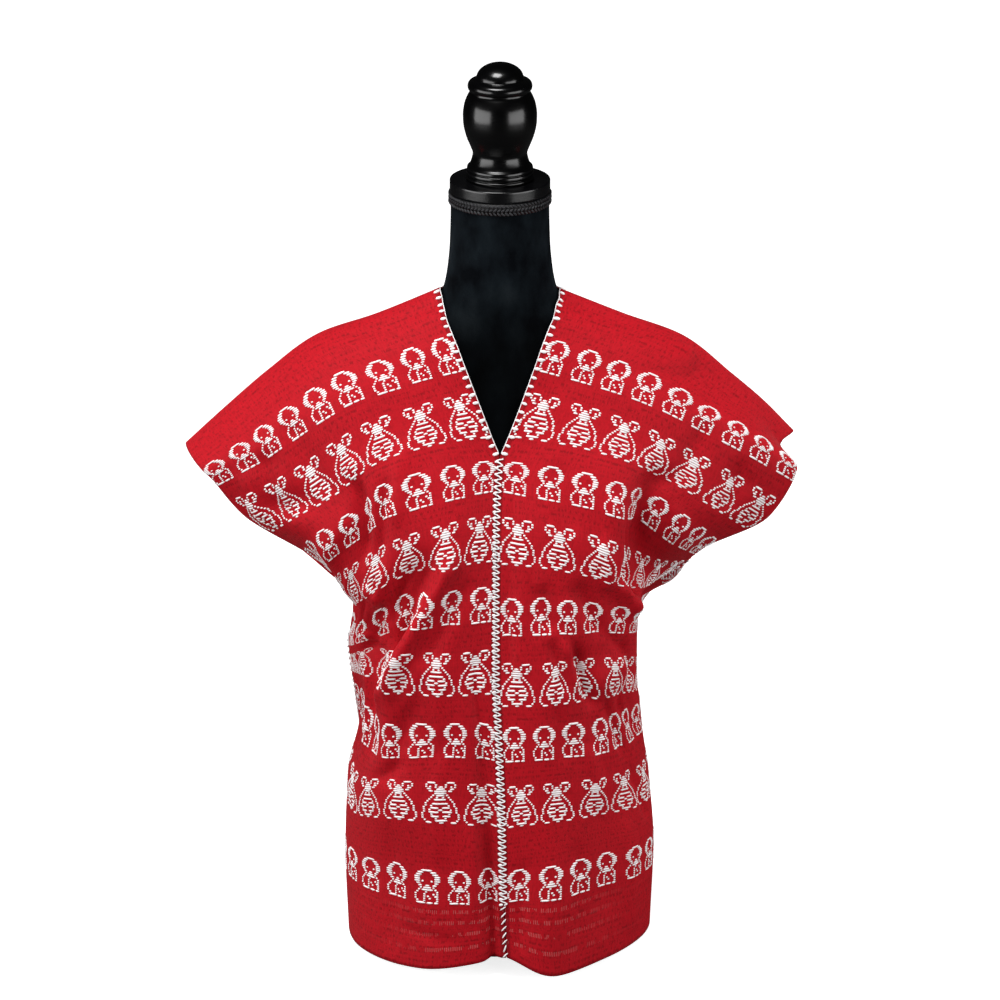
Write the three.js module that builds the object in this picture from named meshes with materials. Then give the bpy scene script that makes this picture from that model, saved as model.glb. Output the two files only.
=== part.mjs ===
// Huipil blouse of two hand-woven webs, worn by a limbless dress form.
// Millimetres, +Z up, +X to the viewer's right, the front faces -Y.
// The origin is the middle of the form's flat underside.

import * as THREE from "three";

// Cloth

const WALL = 2; // thickness of the cloth wall
const SEAM_GAP = 0.7; // between two edges that are sewn together
const REST_GAP = 1.8; // between the cloth's grid points and the form that carries it
const WEB_WIDTH = 322; // one loom width, from the centre join to the outer selvedge
const FRONT_LENGTH = 745; // along the web, from the front hem to the shoulder fold
const WEB_LENGTH = 2 * FRONT_LENGTH;
const NECK_FRONT = 566; // along the web, where the front join ends and the V opens
const NECK_BACK = 855; // the same at the back
const ARMHOLE = 502; // along the web, where the side seam ends under the arm
const ACROSS_STEPS = 21;
const BODY_STEPS = 18; // along the web, from a hem to the yoke
const YOKE_STEPS = 8; // from there to the shoulder fold
const YOKE = 640; // where the cloth starts to bend over the shoulder
const ALONG_STEPS = 2 * (BODY_STEPS + YOKE_STEPS);

// Distances from the centre join of the six lines that each section is given on.
const RAILS = [0, 64, 128, 192, 256, WEB_WIDTH];

// Centre join, front: height, sideways place, depth.
const FRONT_JOIN = [
  { z: 24, x: 7, y: -112 },
  { z: 107, x: 3.5, y: -113 },
  { z: 200, x: 2, y: -114 },
  { z: 272, x: -1, y: -114 },
  { z: 345, x: -4, y: -113 },
  { z: 420, x: -4, y: -110 },
  { z: 496, x: -4, y: -104 },
  { z: 561, x: -1.5, y: -90 },
  { z: 580, x: 0, y: -84 },
];

// Centre join, back.
const BACK_JOIN = [
  { z: 24, x: 0, y: 168 },
  { z: 137, x: 0, y: 160 },
  { z: 305, x: 0, y: 134 },
  { z: 450, x: 0, y: 114 },
  { z: 582, x: 0, y: 94 },
  { z: 672, x: 0, y: 66 },
];

// Sections across each web. v is the distance along the web from the front hem. join is the height on the
// centre join, or the whole place where the neck is open. The rest are the places (outward from the
// middle, depth, height) on the other five lines out to the selvedge, edge.
const COLUMNS = ["v", "join", "chest", "breast", "side", "wrap", "edge"];

const LEFT_FRONT = [
  [0, 27, [53, -112, 16], [109, -80, 6], [153, -18, 2], [162, 42, 8], [138, 98, 12]],
  [95, 107, [50, -114, 109], [109, -84, 104], [154, -15, 92], [165, 40, 96], [140, 96, 100]],
  [192, 200, [59, -116, 206], [118, -90, 199], [154, -18, 176], [162, 38, 184], [146, 78, 190]],
  [263, 272, [53, -118, 277], [117, -92, 264], [139, -45, 262], [142, -4, 272], [153, 8, 281]],
  [336, 353, [62, -120, 350], [115, -105, 349], [141, -50, 341], [153, -14, 325], [158, 4, 318]],
  [409, 426, [57, -120, 423], [106, -100, 411], [145, -50, 370], [158, -14, 352], [160, 8, 345]],
  [444, 461, [55, -119, 458], [106, -105, 442], [143, -64, 404], [148, -32, 388], [146, -2, 376]],
  [478, 496, [52, -118, 493], [106, -108, 472], [148, -75, 436], [163, -44, 416], [157, -10, 400]],
  [542, 561, [57, -104, 556], [120, -100, 534], [149, -82, 502], [186, -62, 469], [187, -14, 436]],
  [607, [18.5, -76, 625], [75, -80, 613], [135, -78, 590], [183, -66, 553], [230, -47, 515], [268, -10, 487]],
  [669, [41, -52, 682], [95, -55, 667], [158, -54, 645], [211, -46, 610], [256, -32, 572], [306, -10, 532]],
];

const RIGHT_FRONT = [
  [0, 27, [55, -114, 8], [113, -80, 13], [153, -16, 12], [160, 42, 12], [137, 98, 14]],
  [95, 107, [61, -114, 116], [115, -84, 117], [156, -20, 107], [163, 38, 104], [139, 96, 104]],
  [192, 198, [55, -116, 205], [108, -90, 201], [149, -26, 187], [158, 34, 184], [140, 88, 184]],
  [263, 271, [54, -118, 275], [106, -92, 272], [134, -58, 270], [148, -12, 266], [146, 48, 267]],
  [336, 345, [54, -120, 348], [96, -104, 350], [130, -74, 340], [144, -22, 322], [134, 32, 322]],
  [409, 420, [50, -120, 424], [98, -108, 417], [139, -74, 402], [144, -30, 392], [141, 16, 388]],
  [478, 496, [57, -118, 491], [113, -108, 471], [141, -56, 442], [163, -26, 429], [188, -4, 429]],
  [542, 561, [60, -104, 554], [119, -104, 541], [157, -78, 518], [193, -62, 485], [214, -20, 455]],
  [607, [19, -76, 625], [79, -80, 612], [137, -78, 593], [188, -66, 561], [238, -47, 525], [281, -14, 487]],
  [669, [40.5, -52, 682], [96, -55, 666], [152, -54, 645], [209, -46, 613], [261, -32, 580], [311, -8, 540]],
  [718, [52, -26, 714], [116, -22, 694], [176, -17, 668], [228, -8, 626], [269, 7, 593], [294, 22, 556]],
];

// The shoulder fold, where front and back meet.
const LEFT_FOLD = [
  FRONT_LENGTH,
  [62, -5, 736],
  [128, 0, 706],
  [192, 8, 680],
  [243, 18, 638],
  [289, 30, 593],
  [331, 44, 549],
];
const RIGHT_FOLD = [
  FRONT_LENGTH,
  [62, -5, 735],
  [128, 0, 706],
  [193, 8, 678],
  [242, 20, 634],
  [277, 34, 599],
  [309, 48, 561],
];

// Sections across the back, the same on both webs. Where edge is left out, the edge is sewn to the
// front's and lies on it.
const BACK = [
  [821, [21, 47, 691], [88, 58, 668], [150, 64, 644], [205, 66, 608], [250, 74, 566], [294, 92, 524]],
  [883, 645, [70, 90, 614], [135, 94, 582], [188, 95, 546], [232, 95, 506], [268, 90, 472]],
  [948, 582, [62, 106, 554], [122, 110, 526], [168, 106, 491], [201, 94, 455], [220, 70, 428]],
  [1012, 518, [60, 118, 490], [112, 118, 464], [150, 100, 438], [170, 62, 418]],
  [1081, 450, [59, 130, 428], [108, 124, 410], [142, 100, 394], [151, 54, 376]],
  [1154, 378, [57, 140, 362], [104, 132, 350], [132, 108, 338], [140, 64, 328]],
  [1227, 305, [52, 148, 290], [98, 142, 282], [128, 118, 276], [144, 78, 272]],
  [1298, 234, [46, 158, 220], [88, 154, 213], [122, 138, 206], [144, 114, 198]],
  [1395, 137, [40, 170, 122], [78, 168, 116], [108, 154, 110], [130, 128, 106]],
  [WEB_LENGTH, 42, [38, 178, 26], [76, 176, 20], [106, 160, 16], [130, 132, 14]],
];

// Where the right web's back goes round the side otherwise than the table says.
const RIGHT_WRAP = [
  { v: 1012, wrap: [181, 40, 402] },
  { v: 1081, wrap: [156, 46, 380] },
];

// Folds: the line that each follows on the web (u across, v along), how far it stands out (a trough is
// negative) and its half width.
const LEFT_FOLDS = [
  { from: [60, 470], to: [100, 408], out: 7, half: 18 },
  { from: [100, 408], to: [140, 312], out: 8, half: 18 },
  { from: [100, 470], to: [160, 330], out: -12, half: 26 },
  { from: [166, 585], to: [176, 500], out: -9, half: 16 },
  { from: [196, 560], to: [262, 530], out: 6, half: 20 },
  { from: [216, 590], to: [282, 606], out: -7, half: 18 },
  { from: [178, 420], to: [172, 250], out: -10, half: 24 },
  { from: [12, 0], to: [13, 300], out: -8, half: 12 },
  { from: [84, 0], to: [96, 210], out: 4, half: 30 },
];

const RIGHT_FOLDS = [
  { from: [128, 540], to: [142, 468], out: 7, half: 18 },
  { from: [142, 468], to: [206, 410], out: 8, half: 18 },
  { from: [172, 590], to: [182, 500], out: -10, half: 18 },
  { from: [54, 430], to: [66, 385], out: -6, half: 12 },
  { from: [100, 360], to: [124, 300], out: -8, half: 14 },
  { from: [120, 310], to: [200, 352], out: 6, half: 24 },
  { from: [170, 300], to: [230, 250], out: -6, half: 22 },
  { from: [60, 0], to: [56, 200], out: 4, half: 30 },
  { from: [120, 40], to: [128, 190], out: -4, half: 26 },
];

const BACK_FOLDS = [
  { from: [20, 1490], to: [30, 1130], out: -11, half: 24 },
  { from: [62, 1490], to: [70, 1060], out: 12, half: 26 },
  { from: [104, 1490], to: [108, 1120], out: -12, half: 24 },
  { from: [146, 1490], to: [140, 1040], out: 12, half: 26 },
  { from: [190, 1490], to: [178, 1090], out: -12, half: 24 },
  { from: [234, 1490], to: [214, 1030], out: 12, half: 26 },
  { from: [278, 1490], to: [258, 1150], out: -9, half: 22 },
  { from: [178, 990], to: [214, 905], out: -8, half: 24 },
];

const FOLD_SHARPNESS = 1.4;
const FOLD_OVERRUN = 0.2; // share of its length that a fold runs on past its two ends
const HEM_FOLD_FADE = 0.7; // share of its length over which a fold from the hem dies out
const SEAM_FADE = 14; // folds die out this near to a sewn edge

// Dress form

// Sections of the torso and neck: height, half width, depth in front, depth behind, squareness.
const FORM = [
  { z: 0, half: 104, front: 48, back: 74, square: 2.2 },
  { z: 50, half: 118, front: 66, back: 86, square: 2.2 },
  { z: 150, half: 124, front: 76, back: 90, square: 2.2 },
  { z: 280, half: 104, front: 70, back: 76, square: 2.2 },
  { z: 400, half: 116, front: 86, back: 84, square: 2.3 },
  { z: 440, half: 124, front: 92, back: 88, square: 2.4 },
  { z: 490, half: 130, front: 95, back: 92, square: 2.5 },
  { z: 530, half: 138, front: 90, back: 92, square: 2.5 },
  { z: 575, half: 163, front: 80, back: 86, square: 2.3 },
  { z: 610, half: 190, front: 74, back: 80, square: 2.2 },
  { z: 645, half: 204, front: 68, back: 74, square: 2 },
  { z: 661, half: 202, front: 65, back: 70, square: 1.85 },
  { z: 676, half: 186, front: 62, back: 66, square: 1.7 },
  { z: 692, half: 146, front: 58, back: 62, square: 1.6 },
  { z: 708, half: 104, front: 54, back: 57, square: 1.7 },
  { z: 726, half: 63, front: 52, back: 54, square: 1.9 },
  { z: 743, half: 57, front: 51.5, back: 53, square: 2 },
  { z: 762, half: 54, front: 51, back: 52, square: 2 },
  { z: 785, half: 52, front: 51, back: 51.5, square: 2 },
  { z: 826, half: 51, front: 51, back: 51, square: 2 },
  { z: 840, half: 51, front: 51, back: 51, square: 2 },
];
const FORM_SIDES = 40;
const FORM_STEP = 50; // the most between two rings of its surface
const FLARE = { low: 692, high: 762, step: 7 }; // where the neck spreads, with closer rings
const FORM_TOP = 840;

const BRAID_HEIGHT = 12;
const BRAID_RADIUS = 53.7;
const CAP_RADIUS = 52;
const CAP_HEIGHT = 13;
const CAP_EDGE = 1.2;
const PLAY = 0.3; // between hard pieces that sit on each other
const ROUND_SIDES = 40;

// Turned finial: radius at each height above the cap plate.
const FINIAL = [
  { r: 34.5, z: 0 },
  { r: 35.4, z: 2 },
  { r: 34.6, z: 7 },
  { r: 35, z: 9 },
  { r: 33.8, z: 14 },
  { r: 30, z: 19 },
  { r: 28.2, z: 27.6 },
  { r: 30.2, z: 34 },
  { r: 35, z: 46 },
  { r: 38, z: 60 },
  { r: 38.3, z: 69 },
  { r: 36.8, z: 80 },
  { r: 31, z: 94.5 },
  { r: 33, z: 97 },
  { r: 33.2, z: 100.5 },
  { r: 31.5, z: 103.5 },
  { r: 24.6, z: 106.7 },
  { r: 23.4, z: 111 },
  { r: 18, z: 117.5 },
  { r: 10, z: 121.5 },
];
const FINIAL_HEIGHT = 123;

// A curve through rows of numbers that never swings past them.
function slopes(at, values) {
  const steps = at.slice(1).map((t, i) => t - at[i]);
  const rates = steps.map((step, i) => (values[i + 1] - values[i]) / step);
  const found = [rates[0]];
  for (let i = 1; i < at.length - 1; i += 1) {
    const before = rates[i - 1];
    const after = rates[i];
    if (before * after <= 0) {
      found.push(0);
    } else {
      const a = 2 * steps[i] + steps[i - 1];
      const b = steps[i] + 2 * steps[i - 1];
      found.push((a + b) / (a / before + b / after));
    }
  }
  found.push(rates[rates.length - 1]);
  return found;
}

function hermite(at, values, rates, t) {
  let i = 0;
  while (i < at.length - 2 && t > at[i + 1]) i += 1;
  const span = at[i + 1] - at[i];
  const s = THREE.MathUtils.clamp((t - at[i]) / span, 0, 1);
  const s2 = s * s;
  const s3 = s2 * s;
  return (
    values[i] * (2 * s3 - 3 * s2 + 1) +
    rates[i] * span * (s3 - 2 * s2 + s) +
    values[i + 1] * (3 * s2 - 2 * s3) +
    rates[i + 1] * span * (s3 - s2)
  );
}

function curveThrough(at, values) {
  const rates = slopes(at, values);
  return (t) => hermite(at, values, rates, t);
}

function tableCurves(rows, key, names) {
  const at = rows.map((row) => row[key]);
  const curves = {};
  for (const name of names) curves[name] = curveThrough(at, rows.map((row) => row[name]));
  return curves;
}

// A rounder curve for a section, free to swing a little.
function sectionCurve(at, values, t) {
  const rates = values.map((value, i) => {
    const low = Math.max(0, i - 1);
    const high = Math.min(values.length - 1, i + 1);
    return (values[high] - values[low]) / (at[high] - at[low]);
  });
  return hermite(at, values, rates, t);
}

// The form's surface

const formCurves = tableCurves(FORM, "z", ["half", "front", "back", "square"]);

// How far a point is outside the form's surface, about in millimetres.
function formDistance(p) {
  const level = THREE.MathUtils.clamp(p.z, 0, FORM_TOP);
  const half = formCurves.half(level);
  const depth = p.y < 0 ? formCurves.front(level) : formCurves.back(level);
  const square = formCurves.square(level);
  const reach = Math.pow(
    Math.pow(Math.abs(p.x) / half, square) + Math.pow(Math.abs(p.y) / depth, square),
    1 / square,
  );
  return (reach - 1) * Math.min(half, depth);
}

function formGradient(p) {
  const step = 0.5;
  const move = (x, y, z) => formDistance(new THREE.Vector3(p.x + x, p.y + y, p.z + z));
  return new THREE.Vector3(
    move(step, 0, 0) - move(-step, 0, 0),
    move(0, step, 0) - move(0, -step, 0),
    move(0, 0, step) - move(0, 0, -step),
  ).divideScalar(2 * step);
}

// Moves a point of the cloth out until it rests on the form.
function restOnForm(p) {
  const clear = REST_GAP + WALL / 2;
  for (let i = 0; i < 6; i += 1) {
    const gradient = formGradient(p);
    const size = Math.max(gradient.length(), 1e-6);
    const distance = formDistance(p) / size;
    if (distance >= clear) break;
    p.addScaledVector(gradient, (clear - distance) / size);
  }
  return p;
}

// The cloth's surface

function joinAt(table, z) {
  const curves = tableCurves(table, "z", ["x", "y"]);
  return [curves.x(z), curves.y(z), z];
}

function named(row) {
  return Object.fromEntries(row.map((cell, i) => [COLUMNS[i], cell]));
}

function makeWeb(side, frontRows, foldRow, folds) {
  const front = frontRows.map(named);
  const fold = named(foldRow);
  const back = BACK.map(named);
  if (side > 0) {
    for (const row of RIGHT_WRAP) back.find((other) => other.v === row.v).wrap = row.wrap;
  }
  const onJoin = (table, z) => {
    const [x, y] = joinAt(table, z);
    return [side * x + SEAM_GAP / 2, y, z];
  };
  const frontEnd = { v: NECK_FRONT, join: FRONT_JOIN.at(-1).z };
  const backEnd = { v: NECK_BACK, join: BACK_JOIN.at(-1).z };
  const all = [...front, fold, ...back];
  const edgeRows = [...all, frontEnd, backEnd].sort((a, b) => a.v - b.v);
  const firstPlace = (row) => {
    if (Array.isArray(row.join)) return row.join;
    return onJoin(row.v < FRONT_LENGTH ? FRONT_JOIN : BACK_JOIN, row.join);
  };
  const rails = [{ at: edgeRows.map((row) => row.v), places: edgeRows.map(firstPlace) }];
  const neck = edgeRows.filter((row) => row.v >= NECK_FRONT && row.v <= NECK_BACK);
  const neckX = curveThrough(neck.map((row) => row.v), neck.map((row) => firstPlace(row)[0]));
  for (const name of ["chest", "breast", "side", "wrap"]) {
    rails.push({ at: all.map((row) => row.v), places: all.map((row) => row[name]) });
  }
  const sewn = front.filter((row) => row.v < ARMHOLE).reverse();
  const sewnBack = sewn.map((row) => ({ ...row, v: WEB_LENGTH - row.v }));
  const edges = [...all.filter((row) => row.edge), ...sewnBack];
  rails.push({ at: edges.map((row) => row.v), places: edges.map((row) => row.edge) });
  for (const rail of rails) {
    rail.curves = [0, 1, 2].map((axis) =>
      curveThrough(rail.at, rail.places.map((place) => place[axis])),
    );
  }
  rails[0].curves[0] = neckX;
  return { side, rails, folds: [...folds, ...BACK_FOLDS] };
}

function smoothStep(t) {
  const s = THREE.MathUtils.clamp(t, 0, 1);
  return s * s * (3 - 2 * s);
}

// How far the folds move a place of the web outwards.
function foldHeight(web, u, v) {
  let height = 0;
  for (const fold of web.folds) {
    const du = fold.to[0] - fold.from[0];
    const dv = fold.to[1] - fold.from[1];
    const along = ((u - fold.from[0]) * du + (v - fold.from[1]) * dv) / (du * du + dv * dv);
    const held = THREE.MathUtils.clamp(along, 0, 1);
    const away = Math.hypot(u - fold.from[0] - held * du, v - fold.from[1] - held * dv);
    const fromHem = fold.from[1] === 0 || fold.from[1] === WEB_LENGTH;
    const nearEnd = Math.min(along, 1 - along) + FOLD_OVERRUN;
    const ends = fromHem
      ? smoothStep((1 - along) / HEM_FOLD_FADE)
      : smoothStep(nearEnd / (2 * FOLD_OVERRUN));
    height += fold.out * ends * Math.exp(-FOLD_SHARPNESS * (away / fold.half) ** 2);
  }
  const sewnSide = v < ARMHOLE || v > WEB_LENGTH - ARMHOLE;
  const sewnJoin = v < NECK_FRONT || v > NECK_BACK;
  const nearJoin = sewnJoin ? smoothStep(u / SEAM_FADE) : 1;
  const nearSide = sewnSide ? smoothStep((WEB_WIDTH - u) / SEAM_FADE) : 1;
  return height * nearJoin * nearSide;
}

function basePoint(web, u, v) {
  const ends = web.rails.map((rail) => rail.curves.map((curve) => curve(v)));
  const sewnJoin = v < NECK_FRONT || v > NECK_BACK;
  if (sewnJoin) {
    const [x, y] = joinAt(v < FRONT_LENGTH ? FRONT_JOIN : BACK_JOIN, ends[0][2]);
    ends[0][0] = web.side * x + SEAM_GAP / 2;
    ends[0][1] = y;
  }
  const place = [0, 1, 2].map((axis) => sectionCurve(RAILS, ends.map((end) => end[axis]), u));
  return new THREE.Vector3(web.side * place[0], place[1], place[2]);
}

function clothPoint(web, u, v) {
  const step = 2;
  const across = basePoint(web, Math.min(u + step, WEB_WIDTH), v);
  across.sub(basePoint(web, Math.max(u - step, 0), v));
  const along = basePoint(web, u, Math.min(v + step, WEB_LENGTH));
  along.sub(basePoint(web, u, Math.max(v - step, 0)));
  const out = across.cross(along).multiplyScalar(web.side).normalize();
  const p = basePoint(web, u, v).addScaledVector(out, foldHeight(web, u, v));
  return restOnForm(p);
}

// Distance along the web of each row of grid points: closer together over the shoulder.
function gridDistance(j) {
  const fromHem = Math.min(j, ALONG_STEPS - j);
  const onYoke = Math.max(0, fromHem - BODY_STEPS) / YOKE_STEPS;
  const onBody = Math.min(fromHem, BODY_STEPS) / BODY_STEPS;
  const v = onBody * YOKE + onYoke * (FRONT_LENGTH - YOKE);
  return j > ALONG_STEPS / 2 ? WEB_LENGTH - v : v;
}

// A closed wall from a grid of points, with its outward directions worked out from its neighbours.
function wallGeometry(web) {
  const rows = ALONG_STEPS + 1;
  const columns = ACROSS_STEPS + 1;
  const middle = [];
  for (let j = 0; j < rows; j += 1) {
    for (let i = 0; i < columns; i += 1) {
      middle.push(clothPoint(web, (WEB_WIDTH * i) / ACROSS_STEPS, gridDistance(j)));
    }
  }
  const at = (i, j) => middle[j * columns + i];
  const outward = middle.map((_, index) => {
    const i = index % columns;
    const j = Math.floor(index / columns);
    const across = at(Math.min(i + 1, columns - 1), j).clone().sub(at(Math.max(i - 1, 0), j));
    const along = at(i, Math.min(j + 1, rows - 1)).clone().sub(at(i, Math.max(j - 1, 0)));
    return across.cross(along).multiplyScalar(web.side).normalize();
  });
  for (let j = 0; j < rows; j += 1) {
    const v = gridDistance(j);
    if (v < NECK_FRONT || v > NECK_BACK) outward[j * columns].setX(0).normalize();
    if (v >= ARMHOLE) continue;
    // The front and back edges of the side seam face each other squarely.
    const frontEdge = j * columns + columns - 1;
    const backEdge = (rows - 1 - j) * columns + columns - 1;
    const between = middle[frontEdge - 1].clone().sub(middle[backEdge - 1]).normalize();
    const facing = outward[frontEdge].clone().add(outward[backEdge]);
    facing.addScaledVector(between, -facing.dot(between)).normalize();
    outward[frontEdge].copy(facing);
    outward[backEdge].copy(facing);
    const seam = middle[frontEdge].clone().add(middle[backEdge]).multiplyScalar(0.5);
    middle[frontEdge].copy(seam).addScaledVector(between, SEAM_GAP / 2);
    middle[backEdge].copy(seam).addScaledVector(between, -SEAM_GAP / 2);
  }
  const places = [];
  for (const sign of [1, -1]) {
    middle.forEach((p, index) => {
      const q = p.clone().addScaledVector(outward[index], (sign * WALL) / 2);
      places.push(q.x, q.y, q.z);
    });
  }
  const faces = [];
  const inner = middle.length;
  const quad = (a, b, c, d) => {
    if (web.side > 0) faces.push(a, b, c, a, c, d);
    else faces.push(a, c, b, a, d, c);
  };
  for (let j = 0; j < rows - 1; j += 1) {
    for (let i = 0; i < columns - 1; i += 1) {
      const a = j * columns + i;
      const b = a + 1;
      const c = a + columns + 1;
      const d = a + columns;
      quad(a, b, c, d);
      quad(inner + a, inner + d, inner + c, inner + b);
    }
  }
  const rim = [];
  for (let i = 0; i < columns - 1; i += 1) rim.push(i);
  for (let j = 0; j < rows - 1; j += 1) rim.push(j * columns + columns - 1);
  for (let i = columns - 1; i > 0; i -= 1) rim.push((rows - 1) * columns + i);
  for (let j = rows - 1; j > 0; j -= 1) rim.push(j * columns);
  rim.forEach((a, k) => {
    const b = rim[(k + 1) % rim.length];
    quad(inner + a, inner + b, b, a);
  });
  const geometry = new THREE.BufferGeometry();
  geometry.setAttribute("position", new THREE.Float32BufferAttribute(places, 3));
  geometry.setIndex(faces);
  geometry.computeVertexNormals();
  return geometry;
}

// The form's covered torso and neck, closed flat below and above.
function formGeometry() {
  const levels = [FORM[0].z];
  FORM.slice(1).forEach((row, i) => {
    const low = FORM[i].z;
    const onFlare = low >= FLARE.low && row.z <= FLARE.high;
    const parts = Math.ceil((row.z - low) / (onFlare ? FLARE.step : FORM_STEP));
    for (let k = 1; k <= parts; k += 1) levels.push(low + ((row.z - low) * k) / parts);
  });
  const places = [];
  for (const z of levels) {
    const half = formCurves.half(z);
    const square = formCurves.square(z);
    for (let k = 0; k < FORM_SIDES; k += 1) {
      const angle = (2 * Math.PI * k) / FORM_SIDES;
      const c = Math.cos(angle);
      const s = Math.sin(angle);
      const depth = s < 0 ? formCurves.front(z) : formCurves.back(z);
      const reach = Math.pow(Math.pow(Math.abs(c), square) + Math.pow(Math.abs(s), square), -1 / square);
      places.push(half * c * reach, depth * s * reach, z);
    }
  }
  const faces = [];
  for (let j = 0; j < levels.length - 1; j += 1) {
    for (let k = 0; k < FORM_SIDES; k += 1) {
      const a = j * FORM_SIDES + k;
      const b = j * FORM_SIDES + ((k + 1) % FORM_SIDES);
      faces.push(a, b, b + FORM_SIDES, a, b + FORM_SIDES, a + FORM_SIDES);
    }
  }
  const under = places.length / 3;
  places.push(0, 0, levels[0], 0, 0, levels[levels.length - 1]);
  const top = (levels.length - 1) * FORM_SIDES;
  for (let k = 0; k < FORM_SIDES; k += 1) {
    const next = (k + 1) % FORM_SIDES;
    faces.push(under, next, k, under + 1, top + k, top + next);
  }
  const geometry = new THREE.BufferGeometry();
  geometry.setAttribute("position", new THREE.Float32BufferAttribute(places, 3));
  geometry.setIndex(faces);
  geometry.computeVertexNormals();
  return geometry;
}

// A turned piece about the form's upright axis.
function turned(outline) {
  const geometry = new THREE.LatheGeometry(
    outline.map(([r, z]) => new THREE.Vector2(r, z)),
    ROUND_SIDES,
  );
  return geometry.rotateX(Math.PI / 2);
}

function cloth(name, side, front, fold, folds) {
  const material = new THREE.MeshStandardMaterial({ color: 0xb01c2a, roughness: 0.9, metalness: 0 });
  const mesh = new THREE.Mesh(wallGeometry(makeWeb(side, front, fold, folds)), material);
  mesh.name = name;
  return mesh;
}

function torso() {
  const material = new THREE.MeshStandardMaterial({ color: 0x0d0f13, roughness: 0.95, metalness: 0 });
  const mesh = new THREE.Mesh(formGeometry(), material);
  mesh.name = "form_torso";
  return mesh;
}

function braid() {
  const inside = FORM.at(-1).half + PLAY;
  const low = FORM_TOP - BRAID_HEIGHT;
  const geometry = turned([
    [inside, low],
    [BRAID_RADIUS, low],
    [BRAID_RADIUS, FORM_TOP],
    [inside, FORM_TOP],
    [inside, low],
  ]);
  const material = new THREE.MeshStandardMaterial({ color: 0x08080a, roughness: 0.7, metalness: 0 });
  const mesh = new THREE.Mesh(geometry, material);
  mesh.name = "neck_braid";
  return mesh;
}

function capPlate() {
  const geometry = turned([
    [0, 0],
    [CAP_RADIUS - CAP_EDGE, 0],
    [CAP_RADIUS, CAP_EDGE],
    [CAP_RADIUS, CAP_HEIGHT - CAP_EDGE],
    [CAP_RADIUS - CAP_EDGE, CAP_HEIGHT],
    [0, CAP_HEIGHT],
  ]);
  const material = new THREE.MeshStandardMaterial({ color: 0x0a0a0b, roughness: 0.35, metalness: 0 });
  const mesh = new THREE.Mesh(geometry, material);
  mesh.name = "cap_plate";
  mesh.position.z = FORM_TOP + PLAY;
  return mesh;
}

function finial() {
  const outline = [[0, 0], ...FINIAL.map((row) => [row.r, row.z]), [0, FINIAL_HEIGHT]];
  const material = new THREE.MeshStandardMaterial({ color: 0x060607, roughness: 0.12, metalness: 0 });
  const mesh = new THREE.Mesh(turned(outline), material);
  mesh.name = "finial";
  mesh.position.z = FORM_TOP + CAP_HEIGHT + 2 * PLAY;
  return mesh;
}

const blouse = new THREE.Group();
blouse.add(cloth("left_web", -1, LEFT_FRONT, LEFT_FOLD, LEFT_FOLDS));
blouse.add(cloth("right_web", 1, RIGHT_FRONT, RIGHT_FOLD, RIGHT_FOLDS));
blouse.add(torso(), braid(), capPlate(), finial());

export default blouse;
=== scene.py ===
import math
from functools import lru_cache

import bmesh
import bpy
import numpy as np
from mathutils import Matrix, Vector


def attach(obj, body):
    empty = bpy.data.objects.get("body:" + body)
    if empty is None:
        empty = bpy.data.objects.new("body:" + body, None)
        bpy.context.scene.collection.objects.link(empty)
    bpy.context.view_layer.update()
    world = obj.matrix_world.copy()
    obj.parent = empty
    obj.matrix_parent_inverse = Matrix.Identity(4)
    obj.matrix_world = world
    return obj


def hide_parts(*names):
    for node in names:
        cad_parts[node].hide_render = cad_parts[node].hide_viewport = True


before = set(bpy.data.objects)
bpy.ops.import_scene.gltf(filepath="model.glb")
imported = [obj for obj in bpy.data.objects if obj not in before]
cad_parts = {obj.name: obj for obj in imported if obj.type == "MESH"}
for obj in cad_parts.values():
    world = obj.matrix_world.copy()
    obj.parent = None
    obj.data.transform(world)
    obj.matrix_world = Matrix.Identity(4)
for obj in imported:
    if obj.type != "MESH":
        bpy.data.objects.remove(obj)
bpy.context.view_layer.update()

bl_info = {
    "name": "Huipil Blouse",
    "version": (1, 0, 0),
    "blender": (4, 5, 0),
    "location": "3D View > Sidebar > Huipil",
    "description": "A brocaded huipil blouse on a limbless dress form",
    "category": "Add Mesh",
}

# The tables are in millimetres, with the row frame's axes. Meshes are in metres.
MM = 0.001

# Cloth
WEB_WIDTH = 322  # one loom width, from the centre join to the outer selvedge
FRONT_LENGTH = 745  # along the web, from the front hem to the shoulder fold
WEB_LENGTH = 2 * FRONT_LENGTH
NECK_FRONT = 566  # along the web, where the front join ends and the V opens
NECK_BACK = 855
ARMHOLE = 502  # along the web, where the side seam ends under the arm
SEAM_GAP = 0.7
CLOTH = 1.2  # thickness of the shown cloth
REST_GAP = 2.8  # from the middle of the cloth to the form that carries it
REST_ROUNDS = 6
SLOPE_STEP = 2  # half the span over which the web's slope is measured
CELL = 4  # spacing of the shown cloth's points
RAILS = np.array([0, 64, 128, 192, 256, WEB_WIDTH], float)

# Centre joins: height, sideways place, depth.
FRONT_JOIN = [
    (24, 7, -112), (107, 3.5, -113), (200, 2, -114), (272, -1, -114), (345, -4, -113),
    (420, -4, -110), (496, -4, -104), (561, -1.5, -90), (580, 0, -84),
]
BACK_JOIN = [
    (24, 0, 168), (137, 0, 160), (305, 0, 134), (450, 0, 114), (582, 0, 94), (672, 0, 66),
]

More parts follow.
